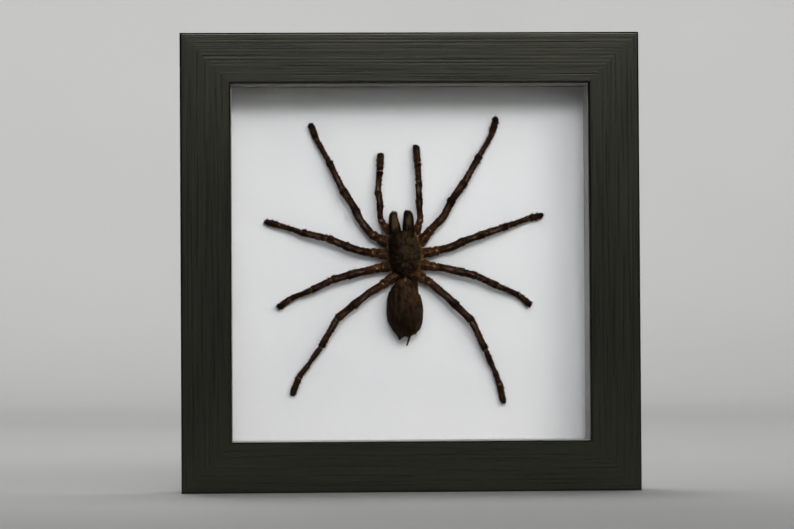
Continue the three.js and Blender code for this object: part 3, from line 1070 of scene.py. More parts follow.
@dataclass(frozen=True)
class Coat:
    """One kind of hair: how dense, long, thick and raised it is."""

    density: float
    length: tuple[float, float]
    width: float
    lift: tuple[float, float]
    bend: float = 0.5
    sway: float = 0.35
    fur: str = "fur"

    def roots(
        self, piece: bpy.types.Object, draw: np.random.Generator
    ) -> tuple[np.ndarray, np.ndarray, np.ndarray, np.ndarray]:
        """Scatters roots over a piece by its fur attribute.

        Args:
            piece: The skin, as mark leaves it.
            draw: The random numbers.

        Returns:
            Places, normals and directions of the lie, and the skin's shag, dark and warm, one
            row for each hair; no rows where no hair grows.
        """
        mesh = piece.data
        mesh.calc_loop_triangles()
        corners = np.empty(len(mesh.loop_triangles) * 3, np.int32)
        mesh.loop_triangles.foreach_get("vertices", corners)
        corners = corners.reshape(-1, 3)
        spots, outwards = places(piece), normals(piece)
        lie = np.empty(len(spots) * 3, np.float32)
        mesh.attributes["lie"].data.foreach_get("vector", lie)
        lie = lie.reshape(-1, 3)[:, 0].astype(float)
        tones = np.empty((4, len(spots)), np.float32)
        for row, name in zip(tones, (self.fur, "shag", "dark", "warm")):
            mesh.attributes[name].data.foreach_get("value", row)
        one, two, three = (spots[corners[:, side]] for side in range(3))
        cross = np.cross(two - one, three - one)
        area = np.linalg.norm(cross, axis=1) / 2
        share = area * np.clip(tones[0][corners].mean(axis=1), 0, None)
        count = int(self.density * share.sum() / MM**2)
        if count == 0:
            return tuple(np.empty((0, 3)) for _ in range(4))
        chosen = draw.choice(len(corners), size=count, p=share / share.sum())
        weight = draw.random((count, 2))
        over = weight.sum(axis=1) > 1
        weight[over] = 1 - weight[over]
        weight = np.column_stack([1 - weight.sum(axis=1), weight])
        mix = lambda values: np.einsum("ij,ij...->i...", weight, values[corners[chosen]])
        flat = cross[chosen] / (2 * area[chosen, None] + 1e-18)
        values = lie[corners[chosen]]
        slope = (
            np.cross(flat, (three - two)[chosen]) * values[:, :1]
            + np.cross(flat, (one - three)[chosen]) * values[:, 1:2]
            + np.cross(flat, (two - one)[chosen]) * values[:, 2:]
        )
        return mix(spots), unit(mix(outwards)), unit(slope), mix(tones[1:].T)


# A hair is two rings of three corners and a tip; its root is sunk into the skin.
HAIR_FACES = np.array([
    (0, 1, 4), (0, 4, 3), (1, 2, 5), (1, 5, 4), (2, 0, 3), (2, 3, 5),
    (3, 4, 6), (4, 5, 6), (5, 3, 6), (0, 2, 1),
])
HAIR_REACH = (0.0, 0.0, 0.0, 0.5, 0.5, 0.5, 1.0)
ROOT_DEPTH = 0.00008


def comb_hair(
    piece: bpy.types.Object, coats: Sequence[Coat], name: str, seed: int
) -> bpy.types.Object:
    """Grows the hair of a piece as one mesh of bent, tapering three-sided hairs.

    Args:
        piece: The skin that it grows from.
        coats: The kinds of hair.
        name: The hair's name.
        seed: The seed of its random numbers.

    Returns:
        The hair, with the attributes reach (0 at the root, 1 at the tip), tone, dark and warm.
    """
    draw = np.random.default_rng(seed)
    spots, tones = [], []
    for coat in coats:
        root, up, along, skin = coat.roots(piece, draw)
        count = len(root)
        if count == 0:
            continue
        side = np.cross(up, along)
        turn = draw.normal(0.0, coat.sway, count)[:, None]
        along = along * np.cos(turn) + side * np.sin(turn)
        lift = np.radians(draw.uniform(*coat.lift, count))[:, None]
        first = along * np.cos(lift) + up * np.sin(lift)
        later = along * np.cos(lift * coat.bend) + up * np.sin(lift * coat.bend)
        length = (draw.uniform(*coat.length, count) * skin[:, 0])[:, None]
        width = coat.width * draw.uniform(0.7, 1.2, count)[:, None]
        side = unit(np.cross(first, up))
        other = np.cross(first, side)
        middle = root + first * length * 0.5
        rings = [
            centre + width * thick * (side * math.cos(angle) + other * math.sin(angle))
            for centre, thick in ((root - up * ROOT_DEPTH, 0.5), (middle, 0.38))
            for angle in (0.0, 2 * math.pi / 3, 4 * math.pi / 3)
        ]
        rings.append(middle + later * length * 0.5)
        spots.append(np.stack(rings, axis=1))
        tones.append(np.column_stack([draw.random(count), skin[:, 1:]]))
    hairs, points = np.concatenate(spots), len(HAIR_REACH)
    faces = HAIR_FACES + points * np.arange(len(hairs))[:, None, None]
    mesh = bpy.data.meshes.new(name)
    mesh.from_pydata(hairs.reshape(-1, 3).tolist(), [], faces.reshape(-1, 3).tolist())
    hair = bpy.data.objects.new(name, mesh)
    bpy.context.scene.collection.objects.link(hair)
    note(hair, "reach", np.tile(HAIR_REACH, len(hairs)))
    for tone, values in zip(("tone", "dark", "warm"), np.concatenate(tones).T):
        note(hair, tone, np.repeat(values, points))
    with editing(hair):
        choose_all()
        bpy.ops.mesh.normals_make_consistent(inside=False)
    return hair


class Part(Enum):
    """The parts of a limb, from the body outwards: how dense and how long their hair is."""

    COXA = (0.30, 0.65)
    TROCHANTER = (0.28, 0.65)
    FEMUR = (0.36, 0.75)
    PATELLA = (0.30, 0.75)
    TIBIA = (0.60, 0.9)
    METATARSUS = (1.3, 0.95)
    TARSUS = (1.8, 0.8)

    @property
    def fur(self) -> float:
        """How dense its hair is."""
        return self.value[0]

    @property
    def shag(self) -> float:
        """How long its hair is."""
        return self.value[1]


class Plan(Enum):
    """The two kinds of limb: their parts with each part's half width in millimetres."""

    LEG = (
        (Part.COXA, 2.65), (Part.TROCHANTER, 2.4), (Part.FEMUR, 2.2), (Part.PATELLA, 2.05),
        (Part.TIBIA, 1.8), (Part.METATARSUS, 1.42), (Part.TARSUS, 1.6),
    )
    PALP = (
        (Part.COXA, 2.0), (Part.TROCHANTER, 1.75), (Part.FEMUR, 1.75), (Part.PATELLA, 1.85),
        (Part.TIBIA, 1.65), (Part.TARSUS, 1.7),
    )


@dataclass
class Limb:
    """A leg or a palp, modelled straight and then bent along its joints.

    Attributes:
        joints: Its bending points from the body outwards, in millimetres.
        buried: How far it starts inside the body.
        knee: How long the bend at a joint is.
        furrow: How deep the furrows of its back are.
        tuft: How far its knobs stand out, as a share of its radius.
        plump: How much wider than its plan it is.
        ends: How much of a part's length its end rings take.
        warmth: How warm the tones near the body are.
    """

    name: str
    joints: tuple[Place, ...]
    seed: int
    plan: Plan = Plan.LEG
    corners: int = 10
    ring_gap: float = 0.0015
    buried: float = 0.0028
    knee: float = 0.0009
    furrow: float = 0.00032
    tuft: float = 0.055
    plump: float = 1.12
    ends: float = 0.0022
    warmth: float = 0.5

    def path(self) -> list[Vector]:
        """Gives the bending points, started a little inside the body."""
        points = [Vector(mm(*joint)) for joint in self.joints]
        inwards = (points[0] - points[1]).normalized() * self.buried
        return [points[0] + inwards, *points[1:]]

    def spans(self) -> list[tuple[Part, float, float]]:
        """Lists every part with the places where it starts and ends on the straight limb."""
        points = self.path()
        runs = [(b - a).length for a, b in zip(points, points[1:])]
        if self.plan is Plan.LEG:
            runs[2:4] = [runs[2] + runs[3]]
        ends = np.concatenate([[0.0], np.cumsum(runs)])
        return [(part, ends[i], ends[i + 1]) for i, (part, _) in enumerate(self.plan.value)]

    def rings(self) -> list[tuple[float, float]]:
        """Lists the rings of the straight limb as pairs of place and radius."""
        draw = random.Random(self.seed)
        rings = []
        girths = dict(self.plan.value)
        for part, low, high in self.spans():
            girth, run = girths[part] * self.plump * MM, high - low
            flare = 1.07 if part in (Part.FEMUR, Part.PATELLA, Part.TIBIA) else 1.03
            if part is Part.TARSUS:
                shape = [(0.0, 0.80), (0.05, 0.93), (0.2, 1.0), (0.5, 1.04), (0.76, 1.0),
                         (0.88, 0.90), (0.945, 0.68), (0.965, 0.34)]
                rings += [(low + run * at, girth * wide) for at, wide in shape]
                continue
            near = [(0.0, 0.85), (0.0003, 0.90), (0.0010, 0.97)]
            far = [(run - 0.0014, flare), (run - 0.0006, flare), (run - 0.00012, 0.95)]
            count = max(1, round((run - self.ends) / self.ring_gap))
            uneven = 0.11 if part is Part.METATARSUS else 0.07
            inner = []
            for share in (step / count for step in range(1, count)):
                waist = 1.0 - 0.10 * math.sin(math.pi * share) * (part is not Part.COXA)
                wide = waist * draw.uniform(1 - uneven, 1 + uneven)
                inner.append((0.001 + (run - self.ends) * share, wide))
            rings += [(low + at, girth * wide) for at, wide in near + inner + far]
        return rings

    def straight(self) -> bpy.types.Object:
        """Models the limb lying straight along +X, with its back up."""
        rings = self.rings()
        piece = start(
            f"{self.name}_skin", bpy.ops.mesh.primitive_circle_add, vertices=self.corners,
            radius=rings[0][1], fill_type="NGON", rotation=(0.0, math.pi / 2, 0.0),
            location=(rings[0][0], 0.0, 0.0),
        )
        with editing(piece):
            choose_all()
            for (at, radius), (then, wider) in zip(rings, rings[1:]):
                pull(then - at, 0.0, 0.0)
                bpy.ops.transform.resize(value=(1.0, wider / radius, wider / radius))
        close_up(piece)
        refine(piece, 2)
        rows = places(piece)
        furrows = self.furrows(rows)
        self.colour(piece, rows, furrows)
        self.wither(piece, self.tufted(rows) - furrows[:, None] * (0.0, 0.0, self.furrow))
        return piece

    def knobs(self, rows: np.ndarray) -> np.ndarray:
        """Gives how far each place stands out, about -2 to 2, where hair sticks together."""
        draw = random.Random(self.seed + 130)
        along, round_about = rows[:, 0] / MM, np.arctan2(rows[:, 1], rows[:, 2])
        return sum(
            np.sin(along * 2 * math.pi / length + turns * round_about + draw.uniform(0, 6))
            for length, turns in ((1.7, 2), (1.25, -3), (2.4, 1), (3.1, -1))
        )

    def tufted(self, rows: np.ndarray) -> np.ndarray:
        """Makes the skin knobbly, more so on the outer parts."""
        rough = np.where(rows[:, 0] > self.spans()[4][1], self.tuft, 0.35 * self.tuft)
        return rows * np.column_stack([np.ones(len(rows)), *[1 + rough * self.knobs(rows)] * 2])

    def furrows(self, rows: np.ndarray) -> np.ndarray:
        """Gives how deep each place lies in the two furrows of each part's back, from 0 to 1."""
        along, off_line = rows[:, 0] / MM, rows[:, 1] / MM
        draw = random.Random(self.seed + 90)
        depth = np.zeros(len(rows))
        for part, low, high in self.spans():
            share = (rows[:, 0] - low) / (high - low)
            taper = np.clip(share * (1 - share) * 9, 0, 1) * (rows[:, 2] > 0)
            for side in (-1, 1):
                line = side * draw.uniform(0.65, 1.05)
                line = line + 0.25 * np.sin(along / 1.3 + draw.uniform(0, 6))
                strength = draw.uniform(0.45, 1.0) * (0.5 if part is Part.TARSUS else 1.0)
                depth = np.maximum(depth, strength * taper * hump(off_line - line, 0.34))
        return depth

    def colour(self, piece: bpy.types.Object, rows: np.ndarray, furrows: np.ndarray) -> None:
        """Notes where the limb is pale, bald, warm, dark and hairy.

        Args:
            piece: The straight limb.
            rows: Its places.
            furrows: How deep each place lies in a furrow, from 0 to 1; the furrows get painted
                shade by it.
        """
        along = rows[:, 0]
        round_about = np.hypot(rows[:, 1], rows[:, 2]) + 1e-9
        back = np.clip(rows[:, 2] / round_about, -1, 1)
        off_line = rows[:, 1] / MM
        tones = {name: np.zeros(len(rows)) for name in ("pale", "bald", "warm", "dark", "fur")}
        tones["shag"] = np.ones(len(rows))
        draw = random.Random(self.seed + 50)
        for part, low, high in self.spans():
            inside = (along >= low - DOUBLES) & (along <= high + DOUBLES)
            share = (along - low) / (high - low)
            near, far = (along - low) / MM, (high - along) / MM
            middle, width = draw.uniform(-0.25, 0.25), draw.uniform(0.40, 0.6)
            streak = hump(off_line - middle, width) * (back > 0)
            here = {"fur": part.fur, "shag": part.shag}
            if part is Part.FEMUR:
                here["bald"] = 0.7 * streak * hump(share - 0.55, 0.3)
                here["dark"] = 0.9 * hump(share - 1.0, 0.25)
                here["warm"] = 0.8 * self.warmth * np.clip(1 - share * 2.6, 0, 1)
            elif part is Part.PATELLA:
                here["bald"] = streak * hump(share - 0.52, 0.3)
                here["dark"] = 0.8 * hump(share - 0.02, 0.2) + 0.7 * hump(share - 1.0, 0.15)
            elif part is Part.TIBIA:
                here["bald"] = 0.8 * streak * hump(share - 0.4, 0.3)
                here["dark"] = 0.8 * hump(share - 0.97, 0.2)
                here["pale"] = 0.35 * hump(near - 1.1, 0.5) * hump(off_line, 0.5) * (back > 0)
            elif part in (Part.COXA, Part.TROCHANTER):
                spot = 0.9 if part is Part.TROCHANTER else 0.3
                spot = spot * hump(far - 0.8, 0.5) * hump(off_line - middle, 0.5)
                here["pale"], here["warm"] = spot * (back > 0), 0.8 * self.warmth
            elif part is Part.TARSUS:
                here["dark"] = np.clip((share - 0.55) * 2.2, 0, 1)
            if part in (Part.METATARSUS, Part.TARSUS):
                broken = 0.55 + 0.45 * np.sin(2.3 * np.arctan2(rows[:, 1], rows[:, 2]) + self.seed)
                ring = hump(near - 0.12, 0.26) * broken * (1.0 if part is Part.TARSUS else 0.5)
                here["pale"] = np.maximum(tones["pale"], ring)
                here["fur"] = part.fur * (1 - 0.9 * hump(near - 0.1, 0.4))
            for name, values in here.items():
                tones[name][inside] = np.broadcast_to(values, len(rows))[inside]
        tones["fur"] *= 1 - 0.75 * np.clip(tones["bald"] + tones["pale"], 0, 1)
        tones["shag"] *= np.clip(0.9 + 0.38 * self.knobs(rows), 0.3, 1.9)
        # Painted shade: the furrows are darkened.
        tones["dark"] = np.clip(tones["dark"] + 0.85 * furrows, 0, 1)
        mark(piece, lie=rows, bristle=0.35 + 0.65 * np.abs(back), **tones)

    def wither(self, piece: bpy.types.Object, rows: np.ndarray) -> None:
        """Shrivels the skin into lengthwise folds."""
        put(piece, rows * (0.2, 1.0, 1.0))
        roughen(piece, 0.0011, 0.00020)
        put(piece, places(piece) * (5.0, 1.0, 1.0))
        roughen(piece, 0.0050, 0.00034)

    def bend(self, piece: bpy.types.Object) -> None:
        """Bends the straight limb along its joints."""
        points = self.path()
        data = bpy.data.curves.new(f"{self.name}_path", "CURVE")
        data.dimensions = "3D"
        data.twist_mode = "Z_UP"
        data.resolution_u = 16
        spline = data.splines.new("BEZIER")
        knots: list[tuple[Vector, Vector, Vector]] = []
        for index, point in enumerate(points):
            if index in (0, len(points) - 1):
                toward = (points[1] - points[0]) if index == 0 else (points[-1] - points[-2])
                reach = toward.normalized() * self.knee
                knots.append((point, point - reach, point + reach))
                continue
            soft = 0.0032 if (index == 3 and self.plan is Plan.LEG) else self.knee
            for near, sign in ((points[index - 1], 1), (points[index + 1], -1)):
                back = (near - point).normalized()
                knot = point + back * min(soft, (near - point).length * 0.4)
                handle = back * soft * 0.55
                knots.append((knot, knot + sign * handle, knot - sign * handle))
        spline.bezier_points.add(len(knots) - 1)
        for bezier, (knot, left, right) in zip(spline.bezier_points, knots):
            bezier.handle_left_type = bezier.handle_right_type = "FREE"
            bezier.co, bezier.handle_left, bezier.handle_right = knot, left, right
        path = bpy.data.objects.new(f"{self.name}_path", data)
        bpy.context.scene.collection.objects.link(path)
        modify(piece, "CURVE", object=path, deform_axis="POS_X")
        bpy.data.objects.remove(path)

    def build(self, skin: bpy.types.Material, hair: bpy.types.Material) -> None:
        """Makes the limb and its hair."""
        piece = self.straight()
        self.bend(piece)
        stand_up(piece)
        smooth(piece, 60.0)
        hand_in(piece, skin, "dried_skin", self.name)
        coat = comb_hair(piece, LIMB_COATS, f"{self.name}_hair", self.seed)
        hand_in(coat, hair, "dried_skin")


LIMB_COATS = (
    Coat(density=4.2, length=mm(0.55, 1.15), width=0.00008, lift=(14.0, 44.0)),
    Coat(density=0.34, length=mm(1.1, 2.1), width=0.00009, lift=(30.0, 65.0), fur="bristle"),
)

HEIGHTS: dict[str, tuple[float, ...]] = {
    "leg_1": (4.2, 4.4, 4.6, 5.3, 5.7, 5.7, 4.8, 2.6, 2.1),
    "leg_2": (4.2, 4.4, 4.6, 5.1, 5.6, 5.5, 4.4, 2.5, 2.1),
    "leg_3": (4.2, 4.4, 4.6, 5.1, 5.5, 5.5, 4.6, 2.5, 2.1),
    "leg_4": (4.2, 4.4, 4.6, 5.2, 5.7, 5.6, 4.8, 2.6, 2.1),
    "palp": (4.8, 5.0, 5.2, 5.6, 5.4, 4.3, 2.3),
}

SPREAD: dict[str, tuple[tuple[float, float], ...]] = {
    "leg_1_left": (
        (-11.9, 136.2), (-16.4, 138.4), (-20.4, 141.0), (-26.6, 148.2), (-29.4, 154.8),
        (-36.2, 165.3), (-43.8, 181.0), (-50.2, 193.0), (-54.1, 202.2),
    ),
    "leg_1_right": (
        (7.4, 137.2), (9.6, 140.4), (12.4, 143.4), (19.3, 150.2), (24.2, 160.1), (31.1, 169.6),
        (39.5, 184.3), (46.4, 196.0), (48.8, 205.7),
    ),
    "leg_2_left": (
        (-12.0, 129.8), (-17.0, 130.3), (-20.9, 130.9), (-28.8, 132.2), (-35.6, 135.0),
        (-44.5, 138.6), (-59.2, 142.2), (-70.9, 146.0), (-79.7, 148.5),
    ),
    "leg_2_right": (
        (7.7, 130.4), (12.8, 131.2), (16.3, 131.9), (22.6, 133.2), (30.5, 136.9), (41.5, 140.8),
        (54.7, 145.2), (66.2, 149.3), (74.8, 151.2),
    ),
    "leg_3_left": (
        (-11.8, 123.2), (-15.3, 122.5), (-18.7, 121.8), (-26.5, 120.2), (-33.9, 118.3),
        (-42.1, 116.0), (-53.5, 110.5), (-65.4, 105.7), (-72.4, 100.5),
    ),
    "leg_3_right": (
        (7.6, 124.0), (11.2, 123.4), (14.7, 122.9), (23.0, 121.3), (30.6, 119.4), (37.2, 117.7),
        (48.8, 112.1), (60.4, 107.2), (67.5, 101.1),
    ),
    "leg_4_left": (
        (-8.6, 117.2), (-11.8, 114.9), (-15.2, 112.9), (-23.5, 107.7), (-31.3, 101.4),
        (-39.6, 94.7), (-48.7, 79.1), (-60.8, 62.3), (-64.8, 52.0),
    ),
    "leg_4_right": (
        (5.0, 118.3), (8.3, 116.0), (11.9, 113.7), (19.5, 107.6), (26.4, 100.9), (34.4, 93.0),
        (41.8, 77.0), (49.8, 58.4), (52.1, 47.0),
    ),
    "palp_left": (
        (-11.9, 143.7), (-13.7, 146.1), (-15.7, 149.2), (-15.6, 157.0), (-16.8, 164.5),
        (-15.8, 175.5), (-15.1, 185.9),
    ),
    "palp_right": (
        (4.9, 143.3), (5.4, 145.9), (6.4, 149.2), (5.8, 160.7), (5.7, 168.8), (5.1, 179.9),
        (4.4, 190.5),
    ),
}


@dataclass
class Carapace:
    """The shield over the front body, with its grooves, its eyes and the body below it."""

    stations: tuple[tuple[float, ...], ...] = (
        (118.2, -2.4, 3.4, 7.2), (119.9, -2.4, 6.2, 9.0), (123.5, -2.4, 8.5, 10.5),
        (128.3, -2.3, 9.6, 11.2), (132.8, -2.5, 9.5, 11.5), (137.1, -3.0, 8.5, 11.6),
        (140.3, -3.4, 7.3, 11.2), (142.6, -3.6, 6.2, 9.6),
    )
    rim: float = 6.3
    pit: tuple[float, float] = (-3.0, 126.1)
    tubercle: tuple[float, float] = (-3.5, 140.4)
    groove_ends: tuple[tuple[float, float], ...] = (
        (6.6, 138.0), (8.2, 132.0), (8.0, 126.2), (5.2, 120.6),
        (-11.4, 138.0), (-12.0, 132.0), (-11.6, 126.2), (-8.8, 120.4),
    )
    groove_depth: float = 0.6
    pit_depth: float = 1.0
    pit_size: tuple[float, float] = (1.6, 0.5)
    tubercle_height: float = 0.95
    tubercle_size: tuple[float, float] = (1.4, 0.9)
    seed: int = 31

    def shield(self) -> bpy.types.Object:
        """Models the shield on the bench."""
        piece = start(
            "carapace", bpy.ops.mesh.primitive_grid_add, x_subdivisions=56, y_subdivisions=72,
            size=2.0,
        )
        rows = places(piece)
        across, along = rows[:, 0].copy(), rows[:, 1].copy()
        rear, front = self.stations[0][0], self.stations[-1][0]
        back_up = rear + (front - rear) * (along + 1) / 2
        middle, half, top = smooth_rows(self.stations, back_up).T
        x = middle + half * across
        y = back_up - 1.3 * np.abs(across) ** 3 * (along > 0.9)
        dome = self.rim + (top - self.rim) * np.clip(1 - np.abs(across) ** 2.6, 0, 1) ** 0.8
        dome += 0.22 * hump(np.abs(across) - 0.965, 0.03)
        dome -= self.groove_depth * self.grooves(x, y)
        aside, ahead = x - self.pit[0], y - self.pit[1]
        wide, high = self.pit_size
        dome -= self.pit_depth * hump(aside, wide) * hump(ahead + 0.1 * aside**2, high)
        aside, ahead = x - self.tubercle[0], y - self.tubercle[1]
        wide, high = self.tubercle_size
        dome += self.tubercle_height * hump(aside, wide) * hump(ahead, high)
        put(piece, np.column_stack([x, y, dome]) * MM)
        with editing(piece):
            for drop, shrink in ((0.5, 1.0), (0.7, 0.96), (1.2, 0.86)):
                choose(piece, Element.EDGES, lambda edge: edge.is_boundary)
                pull(0.0, 0.0, -drop * MM)
                bpy.ops.transform.resize(value=(shrink, shrink, 1.0))
        refine(piece, 1)
        with editing(piece):
            choose(piece, Element.EDGES, lambda edge: edge.is_boundary)
            pull(0.0, 0.0, 0.0)
            bpy.ops.mesh.merge(type="CENTER")
        close_up(piece)
        roughen(piece, 0.0032, 0.00050)
        roughen(piece, 0.0009, 0.00006)
        self.colour(piece)
        return piece

    def grooves(self, x: np.ndarray, y: np.ndarray) -> np.ndarray:
        """Gives how deep places in millimetres lie in the grooves that leave the pit."""
        depth = np.zeros(len(x))
        aside, ahead = x - self.pit[0], y - self.pit[1]
        for end_x, end_y in self.groove_ends:
            run = np.array([end_x - self.pit[0], end_y - self.pit[1]])
            share = np.clip((aside * run[0] + ahead * run[1]) / (run @ run), 0.12, 0.9)
            bent = 0.5 * np.sin(share * 5.0 + end_y)
            gap = np.hypot(aside - share * run[0], ahead - share * run[1] - bent)
            depth = np.maximum(depth, hump(gap, 0.7))
        return depth

    def colour(self, piece: bpy.types.Object) -> None:
        """Notes the shield's tones and how its hair lies."""
        x, y, z = (places(piece) / MM).T
        middle, half, _ = smooth_rows(self.stations, y).T
        across = (x - middle) / half
        above = z > self.rim - 0.9
        away = np.hypot(x - self.pit[0], y - self.pit[1])
        edge = hump(across - 0.97, 0.075) * (y < 141.5)
        margin = hump(np.abs(across) - 1.0, 0.10)
        wavy = 0.7 * np.sin(y / 1.6) + 0.4 * np.sin(y / 0.7)
        # The left side is darker: partly the shield's own black patches, partly painted shade of
        # the side that faces away from the light.
        left = np.clip((-x - 4.3 + wavy) / 2.6, 0, 1) * (across > -0.93)
        # The pit and the grooves are darkened: painted shade in these hollows.
        dark = 0.85 * left + 0.7 * oval(x, y, (-3.0, 126.0), (2.0, 1.0))
        dark += 0.8 * hump(y - 142.9, 0.6) + 0.6 * self.grooves(x, y)
        mark(
            piece, lie=np.column_stack([away, x, y]) * MM, dark=dark,
            warm=edge + 0.35 * margin * (across < 0),
            bald=0.7 * oval(x, y, (1.0, 133.0), (4.5, 7.5)),
            fur=above * (0.5 + 0.4 * margin) * (1 - 0.85 * edge), shag=1.0 + 0.3 * margin,
            bristle=above * (edge + 0.12 * margin),
        )

    def eyes(self) -> bpy.types.Object:
        """Models the eight eyes on their tubercle as one piece."""
        beads = []
        for row, spots in ((0.55, (-0.95, -0.33, 0.33, 0.95)), (-0.25, (-1.15, -0.62, 0.62, 1.15))):
            for spot in spots:
                height = 12.02 - 0.28 * abs(spot) ** 2 - 0.25 * abs(row)
                beads.append(start(
                    "eye", bpy.ops.mesh.primitive_ico_sphere_add, subdivisions=3,
                    radius=(0.24 if abs(spot) < 0.5 else 0.19) * MM, scale=(1.0, 0.85, 1.0),
                    location=mm(self.tubercle[0] + spot, self.tubercle[1] + row, height),
                ))
        deselect_all()
        for bead in beads:
            bead.select_set(True)
        bpy.context.view_layer.objects.active = beads[0]
        bpy.ops.object.join()
        beads[0].name = beads[0].data.name = "eyes"
        smooth(beads[0], 60.0)
        return beads[0]

    def build(
        self, shell: bpy.types.Material, hair: bpy.types.Material, golden: bpy.types.Material,
        eye: bpy.types.Material,
    ) -> None:
        """Makes the shield, its eyes, its hair and the golden fringe of its margin."""
        shield = self.shield()
        eyes = self.eyes()
        for piece in (shield, eyes):
            stand_up(piece)
        smooth(shield, 60.0)
        hand_in(shield, shell, "dried_shell", "cephalothorax")
        hand_in(eyes, eye, "dried_shell")
        for coats, name, finish in (
            (SHIELD_COATS, "carapace_hair", hair), (FRINGE_COATS, "carapace_fringe", golden),
        ):
            hand_in(comb_hair(shield, coats, name, self.seed), finish, "dried_shell")


SHIELD_COATS = (
    Coat(density=5.0, length=mm(0.35, 0.8), width=0.00008, lift=(6.0, 24.0)),
)
FRINGE_COATS = (
    Coat(density=32.0, length=mm(0.6, 1.3), width=0.00009, lift=(6.0, 30.0), fur="bristle"),
)


@dataclass
class Pod:
    """A rounded body that follows stations along the spider: place, middle and half sizes.

    Each station is (y, x, height, half width, half depth) and each crease of its back runs from
    (x, y) to (x, y), in millimetres.

    Attributes:
        in_cad: Whether it stands for the CAD node of its name.
        blunt: How bluntly it ends.
        square: How square its section is, where 2 is round.
        folds: How wide and high its lengthwise folds are.
        dents: How wide and high its dents are.
        marks: Gives its tones at places in millimetres.
        backwards: Whether its hair lies towards the rear.
        flatter: How much it is shortened while it is folded, which draws the folds out.
    """

    name: str
    stations: tuple[tuple[float, ...], ...]
    in_cad: bool = True
    slot: str = "dried_skin"
    blunt: float = 5.0
    square: float = 2.0
    around: int = 32
    along: int = 22
    detail: int = 1
    folds: tuple[float, float] = (0.0, 0.0)
    creases: tuple[tuple[float, float, float, float], ...] = ()
    dents: tuple[float, float] = (0.0, 0.0)
    marks: Callable[[np.ndarray], dict[str, np.ndarray]] | None = None
    backwards: bool = True
    flatter: float = 0.22
    coats: tuple[Coat, ...] = ()
    seed: int = 71

    def shape(self) -> bpy.types.Object:
        """Models the body on the bench."""
        piece = start(
            f"{self.name}_skin", bpy.ops.mesh.primitive_uv_sphere_add, segments=self.around,
            ring_count=self.along, radius=1.0, rotation=(math.pi / 2, 0.0, 0.0),
        )
        rows = places(piece)
        share = np.arcsin(np.clip(rows[:, 1], -1, 1)) / (math.pi / 2)
        low, high = self.stations[0][0], self.stations[-1][0]
        y = low + (high - low) * (share + 1) / 2
        x, z, wide, deep = smooth_rows(self.stations, y).T
        flat = np.hypot(rows[:, 0], rows[:, 2]) + 1e-9
        one, other = rows[:, 0] / flat, rows[:, 2] / flat
        fuller = (np.abs(one) ** self.square + np.abs(other) ** self.square) ** (-1 / self.square)
        close = np.clip(1 - np.abs(share) ** self.blunt, 0, 1) ** (1 / self.blunt)
        put(piece, np.column_stack([
            x + one * fuller * wide * close, y, z + other * fuller * deep * close,
        ]) * MM)
        close_up(piece)
        refine(piece, self.detail)
        if self.folds[0]:
            put(piece, places(piece) * (1.0, self.flatter, 1.0))
            roughen(piece, self.folds[0] * MM, self.folds[1] * MM)
            put(piece, places(piece) * (1.0, 1 / self.flatter, 1.0))
        if self.dents[0]:
            roughen(piece, self.dents[0] * MM, self.dents[1] * MM)
        rows = places(piece)
        depth = self.crease(rows)
        put(piece, rows - depth[:, None] * (0.0, 0.0, 0.5 * MM))
        way = rows * (1.0, -1.0 if self.backwards else 1.0, 1.0)
        fields = self.marks(rows / MM) if self.marks else {}
        # Painted shade: the creases are darkened.
        fields["dark"] = np.clip(fields.get("dark", 0.0) + 0.9 * depth, 0, 1)
        mark(piece, lie=way[:, [1, 0, 2]], **fields)
        return piece

    def crease(self, rows: np.ndarray) -> np.ndarray:
        """Gives how deep each place lies in the creases of the back, from 0 to 1."""
        x, y, z = (rows / MM).T
        depth = np.zeros(len(x))
        for index, (from_x, from_y, to_x, to_y) in enumerate(self.creases):
            share = (y - from_y) / (to_y - from_y)
            bent = from_x + (to_x - from_x) * share + 0.45 * np.sin(y / 1.1 + 2.1 * index)
            taper = np.clip(share * (1 - share) * 8, 0, 1)
            depth = np.maximum(depth, taper * hump(x - bent, 0.42) * (z > 7.0))
        return depth

    def build(self, skin: bpy.types.Material, hair: bpy.types.Material) -> None:
        """Makes the body and its hair, if it has any."""
        piece = self.shape()
        stand_up(piece)
        smooth(piece, 70.0)
        hand_in(piece, skin, self.slot, *([self.name] if self.in_cad else []))
        if self.coats:
            coat = comb_hair(piece, self.coats, f"{self.name}_hair", self.seed)
            hand_in(coat, hair, self.slot)


def abdomen_marks(rows: np.ndarray) -> dict[str, np.ndarray]:
    """Gives the tones of the abdomen at places in millimetres."""
    x, y, z = rows.T
    # Darker on the left: partly the abdomen's own colour, partly painted shade of the side away
    # from the light.
    left = np.clip((-x - 5.2) / 3.0, 0, 1)
    patch = oval(x, y, (-2.9, 91.5), (4.2, 6.0))
    # Warmer on the front right: partly the abdomen's own colour, partly painted light from the
    # right.
    orange = hump(np.hypot((x - 3.2 - (107.0 - y) * 0.35) / 2.2, (y - 106.5) / 5.5), 1.0)
    orange += 0.5 * oval(x, y, (2.2, 88.5), (2.0, 3.5))
    to_waist = np.hypot(x + 2.2, (y - 115.9) / 1.7)
    return {
        "dark": np.clip(0.5 * left + 0.95 * patch + hump(y - 117.2, 1.5), 0, 1),
        "warm": orange * (x > -4) + 0.3 * hump(y - 114.0, 3.0),
        # The pale spot at the waist end is a painted highlight.
        "pale": 0.6 * hump(to_waist, 0.45) * (z > 6.0),
        "bald": 0.5 * oval(x, y, (3.5, 98.0), (3.0, 9.0))
        + 0.5 * hump(y - 109.2 - 0.12 * x, 0.45) * (x > -6) * (z > 7.0),
        "fur": 0.8 - 0.8 * hump(to_waist, 0.9),
        "bristle": 0.5 + 0.5 * (z < 8.0),
    }


